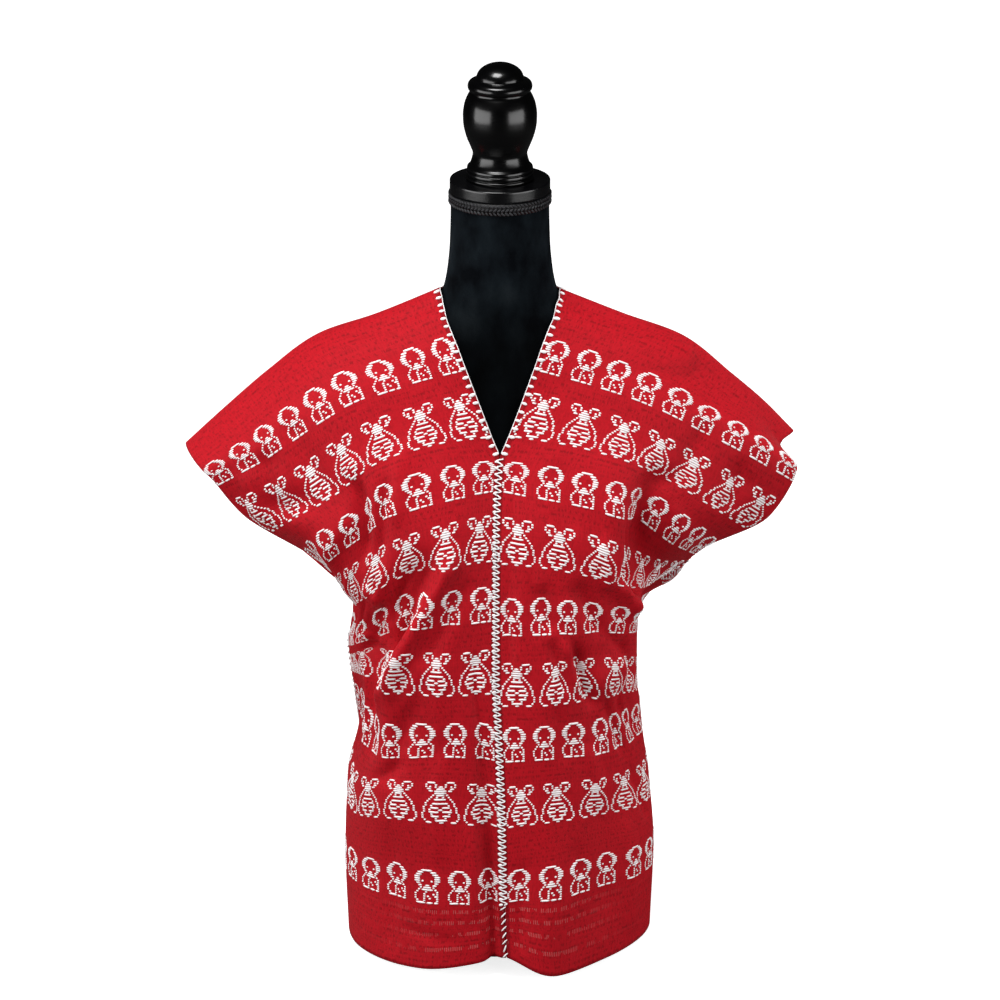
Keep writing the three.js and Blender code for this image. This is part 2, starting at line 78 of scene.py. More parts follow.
# Sections across each web: v along the web from the front hem, the height on the join (or the whole place
# where the neck is open), then the places (outward from the middle, depth, height) on the other rails.
LEFT_FRONT = [
    (0, 27, (53, -112, 16), (109, -80, 6), (153, -18, 2), (162, 42, 8), (138, 98, 12)),
    (95, 107, (50, -114, 109), (109, -84, 104), (154, -15, 92), (165, 40, 96), (140, 96, 100)),
    (192, 200, (59, -116, 206), (118, -90, 199), (154, -18, 176), (162, 38, 184), (146, 78, 190)),
    (263, 272, (53, -118, 277), (117, -92, 264), (139, -45, 262), (142, -4, 272), (153, 8, 281)),
    (336, 353, (62, -120, 350), (115, -105, 349), (141, -50, 341), (153, -14, 325), (158, 4, 318)),
    (409, 426, (57, -120, 423), (106, -100, 411), (145, -50, 370), (158, -14, 352), (160, 8, 345)),
    (444, 461, (55, -119, 458), (106, -105, 442), (143, -64, 404), (148, -32, 388), (146, -2, 376)),
    (478, 496, (52, -118, 493), (106, -108, 472), (148, -75, 436), (163, -44, 416), (157, -10, 400)),
    (542, 561, (57, -104, 556), (120, -100, 534), (149, -82, 502), (186, -62, 469), (187, -14, 436)),
    (607, (18.5, -76, 625), (75, -80, 613), (135, -78, 590), (183, -66, 553), (230, -47, 515),
     (268, -10, 487)),
    (669, (41, -52, 682), (95, -55, 667), (158, -54, 645), (211, -46, 610), (256, -32, 572),
     (306, -10, 532)),
]
RIGHT_FRONT = [
    (0, 27, (55, -114, 8), (113, -80, 13), (153, -16, 12), (160, 42, 12), (137, 98, 14)),
    (95, 107, (61, -114, 116), (115, -84, 117), (156, -20, 107), (163, 38, 104), (139, 96, 104)),
    (192, 198, (55, -116, 205), (108, -90, 201), (149, -26, 187), (158, 34, 184), (140, 88, 184)),
    (263, 271, (54, -118, 275), (106, -92, 272), (134, -58, 270), (148, -12, 266), (146, 48, 267)),
    (336, 345, (54, -120, 348), (96, -104, 350), (130, -74, 340), (144, -22, 322), (134, 32, 322)),
    (409, 420, (50, -120, 424), (98, -108, 417), (139, -74, 402), (144, -30, 392), (141, 16, 388)),
    (478, 496, (57, -118, 491), (113, -108, 471), (141, -56, 442), (163, -26, 429), (188, -4, 429)),
    (542, 561, (60, -104, 554), (119, -104, 541), (157, -78, 518), (193, -62, 485), (214, -20, 455)),
    (607, (19, -76, 625), (79, -80, 612), (137, -78, 593), (188, -66, 561), (238, -47, 525),
     (281, -14, 487)),
    (669, (40.5, -52, 682), (96, -55, 666), (152, -54, 645), (209, -46, 613), (261, -32, 580),
     (311, -8, 540)),
    (718, (52, -26, 714), (116, -22, 694), (176, -17, 668), (228, -8, 626), (269, 7, 593), (294, 22, 556)),
]
LEFT_TOP = (745, (62, -5, 736), (128, 0, 706), (192, 8, 680), (243, 18, 638), (289, 30, 593), (331, 44, 549))
RIGHT_TOP = (745, (62, -5, 735), (128, 0, 706), (193, 8, 678), (242, 20, 634), (277, 34, 599), (309, 48, 561))
BACK = [
    (821, (21, 47, 691), (88, 58, 668), (150, 64, 644), (205, 66, 608), (250, 74, 566), (294, 92, 524)),
    (883, 645, (70, 90, 614), (135, 94, 582), (188, 95, 546), (232, 95, 506), (268, 90, 472)),
    (948, 582, (62, 106, 554), (122, 110, 526), (168, 106, 491), (201, 94, 455), (220, 70, 428)),
    (1012, 518, (60, 118, 490), (112, 118, 464), (150, 100, 438), (170, 62, 418)),
    (1081, 450, (59, 130, 428), (108, 124, 410), (142, 100, 394), (151, 54, 376)),
    (1154, 378, (57, 140, 362), (104, 132, 350), (132, 108, 338), (140, 64, 328)),
    (1227, 305, (52, 148, 290), (98, 142, 282), (128, 118, 276), (144, 78, 272)),
    (1298, 234, (46, 158, 220), (88, 154, 213), (122, 138, 206), (144, 114, 198)),
    (1395, 137, (40, 170, 122), (78, 168, 116), (108, 154, 110), (130, 128, 106)),
    (1490, 42, (38, 178, 26), (76, 176, 20), (106, 160, 16), (130, 132, 14)),
]
RIGHT_WRAP = {1012: (181, 40, 402), 1081: (156, 46, 380)}
WRAP = 5  # column of the wrap rail in a section

# Folds: from u, v and to u, v on the web, how far the fold stands out, its half width.
LEFT_FOLDS = [
    (60, 470, 100, 408, 7, 18), (100, 408, 140, 312, 8, 18), (100, 470, 160, 330, -12, 26),
    (166, 585, 176, 500, -9, 16), (196, 560, 262, 530, 6, 20), (216, 590, 282, 606, -7, 18),
    (178, 420, 172, 250, -10, 24), (12, 0, 13, 300, -8, 12), (84, 0, 96, 210, 4, 30),
]
RIGHT_FOLDS = [
    (128, 540, 142, 468, 7, 18), (142, 468, 206, 410, 8, 18), (172, 590, 182, 500, -10, 18),
    (54, 430, 66, 385, -6, 12), (100, 360, 124, 300, -8, 14), (120, 310, 200, 352, 6, 24),
    (170, 300, 230, 250, -6, 22), (60, 0, 56, 200, 4, 30), (120, 40, 128, 190, -4, 26),
]
BACK_FOLDS = [
    (20, 1490, 30, 1130, -11, 24), (62, 1490, 70, 1060, 12, 26), (104, 1490, 108, 1120, -12, 24),
    (146, 1490, 140, 1040, 12, 26), (190, 1490, 178, 1090, -12, 24), (234, 1490, 214, 1030, 12, 26),
    (278, 1490, 258, 1150, -9, 22), (178, 990, 214, 905, -8, 24),
]

# Finer creases, in the same columns.
LEFT_CREASES = [
    (118, 452, 146, 404, -3, 7), (150, 470, 168, 412, 3, 8), (186, 452, 206, 420, -2.5, 7),
    (210, 500, 238, 470, 2.5, 8), (150, 372, 158, 300, 3, 8), (84, 330, 110, 262, -2, 9),
    (196, 330, 204, 240, 3, 9), (60, 610, 74, 560, -1.6, 9), (232, 640, 280, 652, -2, 10),
    (130, 700, 180, 690, 1.6, 12), (36, 160, 40, 60, 2, 10), (130, 150, 136, 20, -2.5, 12),
    (15, 0, 16, 330, -4, 7), (64, 462, 98, 402, 3, 9), (98, 402, 134, 320, 3, 9),
    (84, 396, 118, 306, -3.5, 10), (60, 30, 120, 44, -1.8, 8), (110, 236, 150, 214, -3, 10),
    (56, 456, 88, 404, 5, 12), (88, 404, 118, 336, 7, 13), (82, 456, 136, 362, -10, 13),
    (128, 392, 150, 316, -9, 13), (36, 432, 86, 350, -4.5, 12), (22, 60, 24, 350, -4.5, 6),
    (180, 468, 150, 430, 6, 9), (196, 410, 168, 372, 4, 9), (120, 560, 158, 486, -6, 12),
    (96, 590, 120, 520, 4, 11), (70, 240, 76, 130, 2.5, 10), (150, 600, 190, 560, 3, 10),
    (210, 668, 198, 585, -5, 15), (252, 655, 262, 590, -4, 12), (150, 440, 196, 352, -6, 12),
    (140, 330, 178, 262, 5, 11), (104, 300, 128, 210, -4.5, 12), (60, 350, 78, 262, 2.5, 12),
    (284, 645, 300, 600, 3.5, 12),
]
RIGHT_CREASES = [
    (152, 520, 160, 470, -3, 8), (196, 470, 214, 432, 2.5, 7), (84, 420, 98, 372, 2.5, 8),
    (150, 380, 186, 352, -2.5, 8), (70, 300, 82, 240, -2, 9), (186, 300, 206, 262, 3, 8),
    (214, 560, 250, 540, 2, 9), (240, 620, 284, 628, -2, 10), (120, 690, 176, 684, 1.6, 12),
    (22, 120, 20, 20, -3, 9), (88, 130, 92, 20, -2, 12), (160, 150, 164, 20, 2.5, 12),
    (14, 330, 16, 560, -2.2, 6), (40, 470, 46, 380, -2, 7), (96, 372, 118, 300, -3.5, 8),
    (116, 500, 136, 446, 6, 9), (150, 452, 192, 414, 6, 11), (148, 480, 190, 440, -9, 12),
    (100, 440, 140, 380, -5.5, 12), (176, 368, 214, 330, -7, 11), (60, 560, 84, 500, -4, 12),
    (110, 250, 130, 180, 3, 10), (176, 216, 200, 150, -4, 10), (204, 655, 190, 575, -5, 15),
    (256, 640, 266, 590, -4, 12), (84, 372, 104, 318, 5, 9), (66, 372, 84, 318, -4.5, 9),
    (140, 300, 172, 236, -5, 12), (24, 420, 28, 340, 2.5, 9),
]
BACK_CREASES = [
    (40, 1000, 60, 900, 2, 12), (110, 960, 128, 880, -2.5, 10), (150, 1060, 170, 980, 3, 10),
    (206, 940, 246, 900, -2.5, 10), (84, 1300, 88, 1180, 2.5, 10), (170, 1400, 166, 1280, -3, 10),
    (120, 800, 170, 806, 1.6, 12),
]
FOLD_SHARPNESS = 1.4
FOLD_OVERRUN = 0.2  # how far a fold fades past its ends, as a share of its length
HEM_FOLD_FADE = 0.7  # the share of its length over which a fold from the hem fades
SEAM_FADE = 14  # folds fade out this near to a seam

# Brocaded figures, given as charts: a mark is one pick of yarn lying over the cloth.
LION_CHART = [
    "....######....",
    "..###....###..",
    ".###......###.",
    "###........###",
    "###........###",
    "###.#....#.###",
    ".##........##.",
    "..##..##..##..",
    "...#.####.#...",
    "..#.######.#..",
    ".#....#.....#.",
    "#....#....#.#.",
    "#....#.#...##.",
    "#....#..#...#.",
    ".#...#......#.",
    ".#####.###.##.",
]
BEE_CHART = [
    "...####......####...",
    "..#....#....#....#..",
    "..#.#..#.##.#..#.#..",
    "...##...####...##...",
    "....##.######.##....",
    ".......######.......",
    "......#.####.#......",
    ".....#..#..#..#.....",
    "....#..######..#....",
    "...#............#...",
    "..#...########...#..",
    "..#..#........#..#..",
    ".#...####..####...#.",
    ".#..#....##....#..#.",
    ".#..#####..#####..#.",
    "#....#........#....#",
    "#....####..####....#",
    "#......#....#......#",
    ".#.....######.....#.",
    "..###....##....###..",
]
# Each figure: its chart, its width and height, the first one's middle and the spacing from the join.
FIGURES = {
    "lion": {"chart": LION_CHART, "wide": 27.5, "high": 39.5, "first": 18.5, "pitch": 36.4, "count": 9},
    "bee": {"chart": BEE_CHART, "wide": 41.5, "high": 48, "first": 23, "pitch": 46, "count": 7},
}
FIGURE_SHIFT = (0.7, 0.5)  # how unevenly figures are placed across and along
YARN_OVERRUN = 0.15  # how far each run of yarn passes its marks
YARN_GROWTH = (0.92, 1.06)  # how much smaller or larger a pillow may come out
YARN_STEP = 2.6  # the longest span between a pillow's rings
YARN_SPREAD = 1.12  # how far a pillow's inner rings are moved towards its ends
YARN_FILL = 0.47  # half a pillow's width, as a share of its pick
YARN_CROWN = 0.55  # how wide a pillow's top is, as a share of its width
YARN_TAPER = 0.72  # how wide a pillow is at its ends, as a share of its middle
YARN_END_RISE = 0.3  # how high it is there, as a share of its middle
YARN_SINK = 0.15  # how deep a pillow's foot lies in the cloth
# Each row: its middle along the web, its figure, how tightly the figure is beaten up and how much lower
# the row lies on the right web.
FIGURE_ROWS = [
    (95, "lion", 1, 0), (192, "bee", 1, 0), (263, "lion", 1, 1), (336, "bee", 1, 9),
    (409, "lion", 1, 9), (478, "bee", 1, 2), (542, "lion", 0.93, 0), (605.5, "bee", 0.92, 0),
    (667, "lion", 0.95, 0),
]
ROW_MARGIN = 3  # how far past its figures a row's band reaches
ROW_FADE = 4  # over how much of that the band fades into the plain one
HEM_PICKS = [22, 39, 53, 66]  # rows of pale picks above each hem
PICK_REACH = 2.2  # half the height of such a row
JOIN_SHADE = 5.5  # painted shade: the cloth is darkened this near to the join, between the stitches, where the webs' edges curl under the seam
SHEEN_ROUGHNESS = 0.45

# Stitches. Each join: its face, where its sparse foot starts, where its zig-zag starts and ends.
JOINS = [("front", 30, 88, 577), ("back", 30, 90, 668)]
# Each kind of stitch: its length in metres, its thickness beside the yarn's, its turn in radians and how
# uneven the turn is.
STITCH_KINDS = {
    "teeth": (0.0046, 1.0, 0.2, 0.25),
    "sparse": (0.0085, 0.62, 0.75, 0.45),
    "buttonhole": (0.007, 1.32, 0.15, 0.2),
    "overcast": (0.0068, 1.0, 0.35, 0.2),
    "strand": (0.0052, 1.0, 0.85, 0.05),
}
SPARSE_PITCH = 0.0072
OVERCAST_PITCH = 0.0065
BUTTONHOLE_REACH = 0.0026  # from the edge to a buttonhole stitch's middle, in metres
JOIN_THREAD = 0.27  # radius of the zig-zag thread beside the yarn's thickness
EDGE_THREAD = 0.0005  # radius of the thread along the neck's edge, in metres
STITCH_LIFT = CLOTH / 2 + 0.5  # from the middle of the cloth
STITCH_FLATNESS = 0.75
WAVE_REACH = 3.3  # how far the zig-zag thread swings to each side of the join
WAVE_STEPS = 10  # points in each wave of that thread
TEETH_ACROSS = -2.8  # where the zig-zag's left row of stitches lies, across the join
SPARSE_ACROSS = -0.8
PATH_STEP = 3  # spacing of the points in a plain seam's path

# Dress form: height, half width, depth in front, depth behind, squareness.
FORM = [
    (0, 104, 48, 74, 2.2), (50, 118, 66, 86, 2.2), (150, 124, 76, 90, 2.2), (280, 104, 70, 76, 2.2),
    (400, 116, 86, 84, 2.3), (440, 124, 92, 88, 2.4), (490, 130, 95, 92, 2.5),
    (530, 138, 90, 92, 2.5), (575, 163, 80, 86, 2.3), (610, 190, 74, 80, 2.2),
    (645, 204, 68, 74, 2), (661, 202, 65, 70, 1.85), (676, 186, 62, 66, 1.7),
    (692, 146, 58, 62, 1.6), (708, 104, 54, 57, 1.7), (726, 63, 52, 54, 1.9),
    (743, 57, 51.5, 53, 2), (762, 54, 51, 52, 2), (785, 52, 51, 51.5, 2), (826, 51, 51, 51, 2),
    (840, 51, 51, 51, 2),
]
FORM_TOP = 840
BRAID_HEIGHT = 12
BRAID_INSIDE = 51
BRAID_MIDDLE = 52.7  # radius of the circle that the strands' middles lie on
BRAID_LEANS = (1, -1, 1)  # which way each row of strands leans
BRAID_STRAND = 0.0024  # thickness of a strand, in metres
CAP_RADIUS = 52
CAP_HEIGHT = 13
# The cap's rounded edges: how far in from its side, how far from its face.
CAP_FOOT = [(2.4, 0), (1.2, 0), (0.3, 0.4), (0, 1.2), (0, 2.4)]
CAP_HEAD = [(0, 2.4), (0, 1.1), (0.3, 0.35), (1.1, 0), (2.4, 0)]
PLAY = 0.3  # between one piece of the form and the next
TORSO_STEP = 7
# Finial: radius, height.
FINIAL = [
    (0, 0), (34.2, 0), (35, 0.6), (35.4, 2), (35.1, 3.3), (33.9, 3.9), (33.9, 4.4), (34.7, 5.1),
    (34.9, 7.2), (34.6, 9.1), (33.4, 9.6), (33.4, 10.1), (34.2, 10.7), (33.8, 13.5), (32.2, 14.8),
    (31.6, 15.6), (30, 19), (28.2, 27.6), (30.2, 34), (35, 46), (38, 60), (38.3, 69), (36.8, 80),
    (33.4, 89), (31.2, 93.6), (31.2, 94.6), (32.9, 96.2), (33.4, 99.2), (32.6, 102.2),
    (31.2, 103.9), (27.5, 105.6), (24.8, 106.7), (24.2, 109.5), (22.4, 113.6), (18, 118),
    (10.5, 121.6), (4, 122.8), (0, 123),
]

# Stage
WORLD_LIGHT = 0.18
GLOSSY_WORLD_LIGHT = 0.01
LIGHT_AIM = (0, 0, 0.55)
FLOOR_GLOW = 0.8
FLOOR_REACH = 14000
CAMERA_PITCH = math.radians(19.5)
# Each softbox's place in metres, its width, its height, its power in watts and whether gloss mirrors it.
SOFTBOXES = [
    ("overhead", (-0.6, -1.0, 3.7), 1.5, 1.5, 118, True),
    ("left_box", (-2.5, -1.6, 0.8), 3.1, 1.5, 64, True),
    ("right_box", (2.4, -1.8, 0.76), 2.9, 1.42, 50, True),
    ("left_rim", (-2.4, 0.5, 1.1), 0.9, 1.5, 12, False),
    ("right_rim", (2.4, 0.5, 1.1), 0.9, 1.5, 20, False),
]


# Curves, as in the part's own surface.
def slopes(at, values):
    """Slopes at the rows of a curve that never swings past them."""
    steps = np.diff(at)[:, None]
    rates = np.diff(values, axis=0) / steps
    before, after = rates[:-1], rates[1:]
    same = before * after > 0
    a = 2 * steps[1:] + steps[:-1]
    b = steps[1:] + 2 * steps[:-1]
    mean = (a + b) / (a / np.where(same, before, 1) + b / np.where(same, after, 1))
    return np.vstack([rates[:1], np.where(same, mean, 0), rates[-1:]])


def blend_weights(s, span):
    s2 = s * s
    s3 = s2 * s
    return 2 * s3 - 3 * s2 + 1, span * (s3 - 2 * s2 + s), 3 * s2 - 2 * s3, span * (s3 - s2)


def curve_through(at, values):
    """A curve through rows of numbers that never swings past them."""
    at = np.asarray(at, float)
    values = np.asarray(values, float).reshape(len(at), -1)
    rates = slopes(at, values)

    def curve(t):
        i = np.clip(np.searchsorted(at, t) - 1, 0, len(at) - 2)
        span = at[i + 1] - at[i]
        s = np.clip((t - at[i]) / span, 0, 1)
        weights = [w[..., None] for w in blend_weights(s, span)]
        terms = (values[i], rates[i], values[i + 1], rates[i + 1])
        return sum(w * term for w, term in zip(weights, terms))

    return curve


def section_point(ends, u):
    """The place at u on the rounder curve through a section's six rail points."""
    rates = np.empty_like(ends)
    rates[..., 1:-1, :] = (ends[..., 2:, :] - ends[..., :-2, :]) / (RAILS[2:] - RAILS[:-2])[:, None]
    rates[..., 0, :] = (ends[..., 1, :] - ends[..., 0, :]) / (RAILS[1] - RAILS[0])
    rates[..., -1, :] = (ends[..., -1, :] - ends[..., -2, :]) / (RAILS[-1] - RAILS[-2])
    i = np.clip(np.searchsorted(RAILS, u) - 1, 0, len(RAILS) - 2)
    span = RAILS[i + 1] - RAILS[i]
    weights = [w[..., None] for w in blend_weights((u - RAILS[i]) / span, span)]

    def pick(rows, k):
        return np.take_along_axis(rows, (i + k)[..., None, None], axis=-2)[..., 0, :]

    terms = (pick(ends, 0), pick(rates, 0), pick(ends, 1), pick(rates, 1))
    return sum(w * term for w, term in zip(weights, terms))


def smooth_step(t):
    s = np.clip(t, 0, 1)
    return s * s * (3 - 2 * s)


def unit(vectors):
    return vectors / np.maximum(np.linalg.norm(vectors, axis=-1, keepdims=True), 1e-9)


def table_curve(rows):
    return curve_through([row[0] for row in rows], [row[1:] for row in rows])


form_curve = table_curve(FORM)
join_curves = {"front": table_curve(FRONT_JOIN), "back": table_curve(BACK_JOIN)}


def joined(v):
    """Where a web is sewn to the other one."""
    return (v < NECK_FRONT) | (v > NECK_BACK)


def form_distance(p):
    """About how far outside the form each place lies."""
    half, front, back, square = np.moveaxis(form_curve(np.clip(p[..., 2], 0, FORM_TOP)), -1, 0)
    depth = np.where(p[..., 1] < 0, front, back)
    reach = (np.abs(p[..., 0]) / half) ** square + (np.abs(p[..., 1]) / depth) ** square
    return (reach ** (1 / square) - 1) * np.minimum(half, depth)


def rest_on_form(p):
    """Moves points of the cloth out until they rest on the form."""
    step = 0.5
    for _ in range(REST_ROUNDS):
        gradient = np.stack(
            [form_distance(p + step * axis) - form_distance(p - step * axis) for axis in np.eye(3)], -1
        )
        size = np.maximum(np.linalg.norm(gradient / (2 * step), axis=-1), 1e-6)
        short = np.maximum(REST_GAP - form_distance(p) / size, 0)
        p = p + unit(gradient) * short[..., None]
    return p


class Web:
    """One web's surface: a fine grid of places and outward directions, by u across and v along."""

    def __init__(self, side):
        self.side = side
        self.front = RIGHT_FRONT if side > 0 else LEFT_FRONT
        top = RIGHT_TOP if side > 0 else LEFT_TOP
        back = [list(row) for row in BACK]
        if side > 0:
            for row in back:
                row[WRAP] = RIGHT_WRAP.get(row[0], row[WRAP])
            own = RIGHT_FOLDS + RIGHT_CREASES
        else:
            own = LEFT_FOLDS + LEFT_CREASES
        self.folds = own + BACK_FOLDS + BACK_CREASES
        rows = [*self.front, top, *back]
        ends = [(NECK_FRONT, FRONT_JOIN[-1][0]), (NECK_BACK, BACK_JOIN[-1][0])]
        join_rows = sorted([(row[0], row[1]) for row in rows] + ends, key=lambda row: row[0])
        on_join = [(v, *self.join_place(v, place)) for v, place in join_rows]
        self.rails = [table_curve(on_join)]
        self.neck_x = table_curve([row[:2] for row in on_join if NECK_FRONT <= row[0] <= NECK_BACK])
        for column in range(2, 6):
            self.rails.append(curve_through([row[0] for row in rows], [row[column] for row in rows]))
        edges = [row for row in rows if len(row) > 6]
        sewn = [row for row in self.front if row[0] < ARMHOLE][::-1]
        at = [row[0] for row in edges] + [WEB_LENGTH - row[0] for row in sewn]
        self.rails.append(curve_through(at, [row[6] for row in edges + sewn]))
        self.make_grid()

    def join_place(self, v, place):
        if isinstance(place, tuple):
            return place
        x, y = join_curves["front" if v < FRONT_LENGTH else "back"](np.float64(place))
        return (self.side * x + SEAM_GAP / 2, y, place)

    def base(self, u, v):
        ends = np.stack([rail(v) for rail in self.rails], -2)
        z = ends[..., 0, 2]
        front, back = join_curves["front"](z), join_curves["back"](z)
        on_join = np.where((v < FRONT_LENGTH)[..., None], front, back)
        sewn = joined(v)
        ends[..., 0, 0] = np.where(sewn, self.side * on_join[..., 0] + SEAM_GAP / 2, self.neck_x(v)[..., 0])
        ends[..., 0, 1] = np.where(sewn, on_join[..., 1], ends[..., 0, 1])
        place = section_point(ends, u)
        place[..., 0] *= self.side
        return place

    def fold_height(self, u, v):
        height = np.zeros_like(u)
        for u0, v0, u1, v1, out, half in self.folds:
            du, dv = u1 - u0, v1 - v0
            along = ((u - u0) * du + (v - v0) * dv) / (du * du + dv * dv)
            held = np.clip(along, 0, 1)
            away = np.hypot(u - u0 - held * du, v - v0 - held * dv)
            if v0 in (0, WEB_LENGTH):
                ends = smooth_step((1 - along) / HEM_FOLD_FADE)
            else:
                ends = smooth_step((np.minimum(along, 1 - along) + FOLD_OVERRUN) / (2 * FOLD_OVERRUN))
            height += out * ends * np.exp(-FOLD_SHARPNESS * (away / half) ** 2)
        sewn_side = (v < ARMHOLE) | (v > WEB_LENGTH - ARMHOLE)
        height *= np.where(joined(v), smooth_step(u / SEAM_FADE), 1)
        return height * np.where(sewn_side, smooth_step((WEB_WIDTH - u) / SEAM_FADE), 1)

    def make_grid(self):
        self.across = round(WEB_WIDTH / CELL)
        self.along = 2 * round(FRONT_LENGTH / CELL)
        columns = np.linspace(0, WEB_WIDTH, self.across + 1)
        self.u, self.v = u, v = np.meshgrid(columns, np.linspace(0, WEB_LENGTH, self.along + 1))
        wide = self.base(np.minimum(u + SLOPE_STEP, WEB_WIDTH), v)
        wide -= self.base(np.maximum(u - SLOPE_STEP, 0), v)
        long = self.base(u, np.minimum(v + SLOPE_STEP, WEB_LENGTH))
        long -= self.base(u, np.maximum(v - SLOPE_STEP, 0))
        out = unit(np.cross(wide, long) * self.side)
        place = rest_on_form(self.base(u, v) + out * self.fold_height(u, v)[..., None])
        self.out = unit(np.cross(np.gradient(place, axis=1), np.gradient(place, axis=0)) * self.side)
        self.place = place
        self.out[joined(v[:, 0]), 0, 0] = 0
        self.out[:, 0] = unit(self.out[:, 0])
        self.close_side_seam()

    def close_side_seam(self):
        """The front and back edges of the side seam face each other squarely."""
        rows = np.nonzero(self.v[:, 0] < ARMHOLE)[0]
        back = self.along - rows
        between = unit(self.place[rows, -2] - self.place[back, -2])
        facing = self.out[rows, -1] + self.out[back, -1]
        facing = unit(facing - between * (facing * between).sum(-1, keepdims=True))
        middle = (self.place[rows, -1] + self.place[back, -1]) / 2
        self.place[rows, -1] = middle + between * SEAM_GAP / 2
        self.place[back, -1] = middle - between * SEAM_GAP / 2
        self.out[rows, -1] = facing
        self.out[back, -1] = facing

    def at(self, u, v, lift=0.0):
        """Places and outward directions on the web, lifted off the middle of the cloth."""
        x = np.clip(np.asarray(u, float) / WEB_WIDTH, 0, 1) * self.across
        y = np.clip(np.asarray(v, float) / WEB_LENGTH, 0, 1) * self.along
        i = np.minimum(x.astype(int), self.across - 1)
        j = np.minimum(y.astype(int), self.along - 1)
        s, t = (x - i)[..., None], (y - j)[..., None]

        def mix(grid):
            low = grid[j, i] * (1 - s) + grid[j, i + 1] * s
            high = grid[j + 1, i] * (1 - s) + grid[j + 1, i + 1] * s
            return low * (1 - t) + high * t

        out = unit(mix(self.out))
        return mix(self.place) + out * np.asarray(lift, float)[..., None], out


@lru_cache(maxsize=None)
def web(side):
    return Web(side)


# Small tools for meshes
def show(name, mesh):
    piece = bpy.data.objects.new(name, mesh)
    bpy.context.collection.objects.link(piece)
    return piece


def new_mesh(name, places, faces, edges=()):
    """A mesh from places in millimetres."""
    mesh = bpy.data.meshes.new(name)
    mesh.from_pydata((np.asarray(places) * MM).tolist(), list(edges), faces)
    return mesh


def new_piece(name, places, faces, surface):
    """A smooth piece from places in millimetres."""
    mesh = new_mesh(name, places, faces)
    mesh.materials.append(surface)
    mesh.shade_smooth()
    mesh.update()
    return show(name, mesh)


def hand_over(piece, solid=None):
    """Every piece rides on the one body. A shown form also takes its solid's place."""
    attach(piece, "root")
    if solid:
        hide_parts(solid)


def unit_circle(sides):
    angles = 2 * np.pi * np.arange(sides) / sides
    return np.stack([np.cos(angles), np.sin(angles), 0 * angles], 1)


def closed_rings(rings, under, top):
    """Places and faces of a closed surface through rings of places, from the lowest to the highest."""
    count, sides = rings.shape[:2]
    index = np.arange(count * sides).reshape(count, sides)
    turned = np.roll(index, -1, 1)
    pole = np.full(sides, count * sides)
    faces = np.stack([index[:-1], turned[:-1], turned[1:], index[1:]], -1).reshape(-1, 4).tolist()
    faces += np.stack([pole, turned[0], index[0]], 1).tolist()
    faces += np.stack([pole + 1, index[-1], turned[-1]], 1).tolist()
    return np.concatenate([rings.reshape(-1, 3), [under, top]]), faces


def turned_piece(name, outline, base, surface, sides):
    """A turned piece about the form's axis, from (radius, height) rows that start and end at radius 0."""
    circle = unit_circle(sides)
    rings = [circle * r + [0, 0, base + z] for r, z in outline[1:-1]]
    ends = [(0, 0, base + outline[end][1]) for end in (0, -1)]
    return new_piece(name, *closed_rings(np.array(rings), *ends), surface)


def rounded_outline(rows, steps=3):
    """More rows on a smooth curve through an outline's rows."""
    rows = np.array(rows, float)
    at = np.concatenate([[0], np.cumsum(np.hypot(*np.diff(rows, axis=0).T))])
    fine = np.unique(np.concatenate([np.linspace(a, b, steps + 1) for a, b in zip(at, at[1:])]))
    return curve_through(at, rows)(fine)


# Small tools for node trees
def feed(made, socket, value):
    """Links a socket to a node's input, or sets the input to a plain value."""
    if isinstance(value, bpy.types.NodeSocket):
        made.id_data.links.new(value, made.inputs[socket])
    else:
        made.inputs[socket].default_value = value


def node(tree, kind, inputs=None, **properties):
    """A node with its properties and, by socket name or number, its inputs."""
    made = tree.nodes.new(kind)
    for name, value in properties.items():
        setattr(made, name, value)
    for socket, value in (inputs or {}).items():
        feed(made, socket, value)
    return made


def new(tree, kind, inputs=None, output=0, **properties):
    """An output of a new node."""
    return node(tree, kind, inputs, **properties).outputs[output]


def new_material(name, colour, roughness, specular, sheen=0.0, sheen_tint=(1, 1, 1)):
    surface = bpy.data.materials.new(name)
    surface.use_nodes = True
    shader = surface.node_tree.nodes["Principled BSDF"]
    feed(shader, "Base Color", (*colour, 1))
    feed(shader, "Roughness", roughness)
    feed(shader, "Specular IOR Level", specular)
    feed(shader, "Sheen Weight", sheen)
    feed(shader, "Sheen Roughness", SHEEN_ROUGHNESS)
    feed(shader, "Sheen Tint", (*sheen_tint, 1))
    return surface, surface.node_tree, shader


def scaled(tree, vector, scale):
    return new(tree, "ShaderNodeMapping", {"Vector": vector, "Scale": scale})


def object_coords(tree, scale=(1, 1, 1)):
    return scaled(tree, new(tree, "ShaderNodeTexCoord", output="Object"), scale)


def axis_of(tree, vector, axis):
    return new(tree, "ShaderNodeSeparateXYZ", {"Vector": vector}, axis)


def noise(tree, vector, scale, detail):
    return new(tree, "ShaderNodeTexNoise", {"Vector": vector, "Scale": scale, "Detail": detail}, "Fac")


def wave(tree, vector, direction, scale, distortion, detail=2.0):
    inputs = {"Vector": vector, "Scale": scale, "Distortion": distortion, "Detail": detail}
    return new(tree, "ShaderNodeTexWave", inputs, "Fac", bands_direction=direction)


def colour_ramp(tree, value, stops):
    ramp = node(tree, "ShaderNodeValToRGB", {"Fac": value})
    while len(ramp.color_ramp.elements) < len(stops):
        ramp.color_ramp.elements.new(0.5)
    for element, (at, colour) in zip(ramp.color_ramp.elements, stops):
        element.position = at
        element.color = (*colour, 1)
    return ramp.outputs["Color"]


def map_range(tree, value, start, end, low, high):
    inputs = {"Value": value, "From Min": start, "From Max": end, "To Min": low, "To Max": high}
    return new(tree, "ShaderNodeMapRange", inputs)


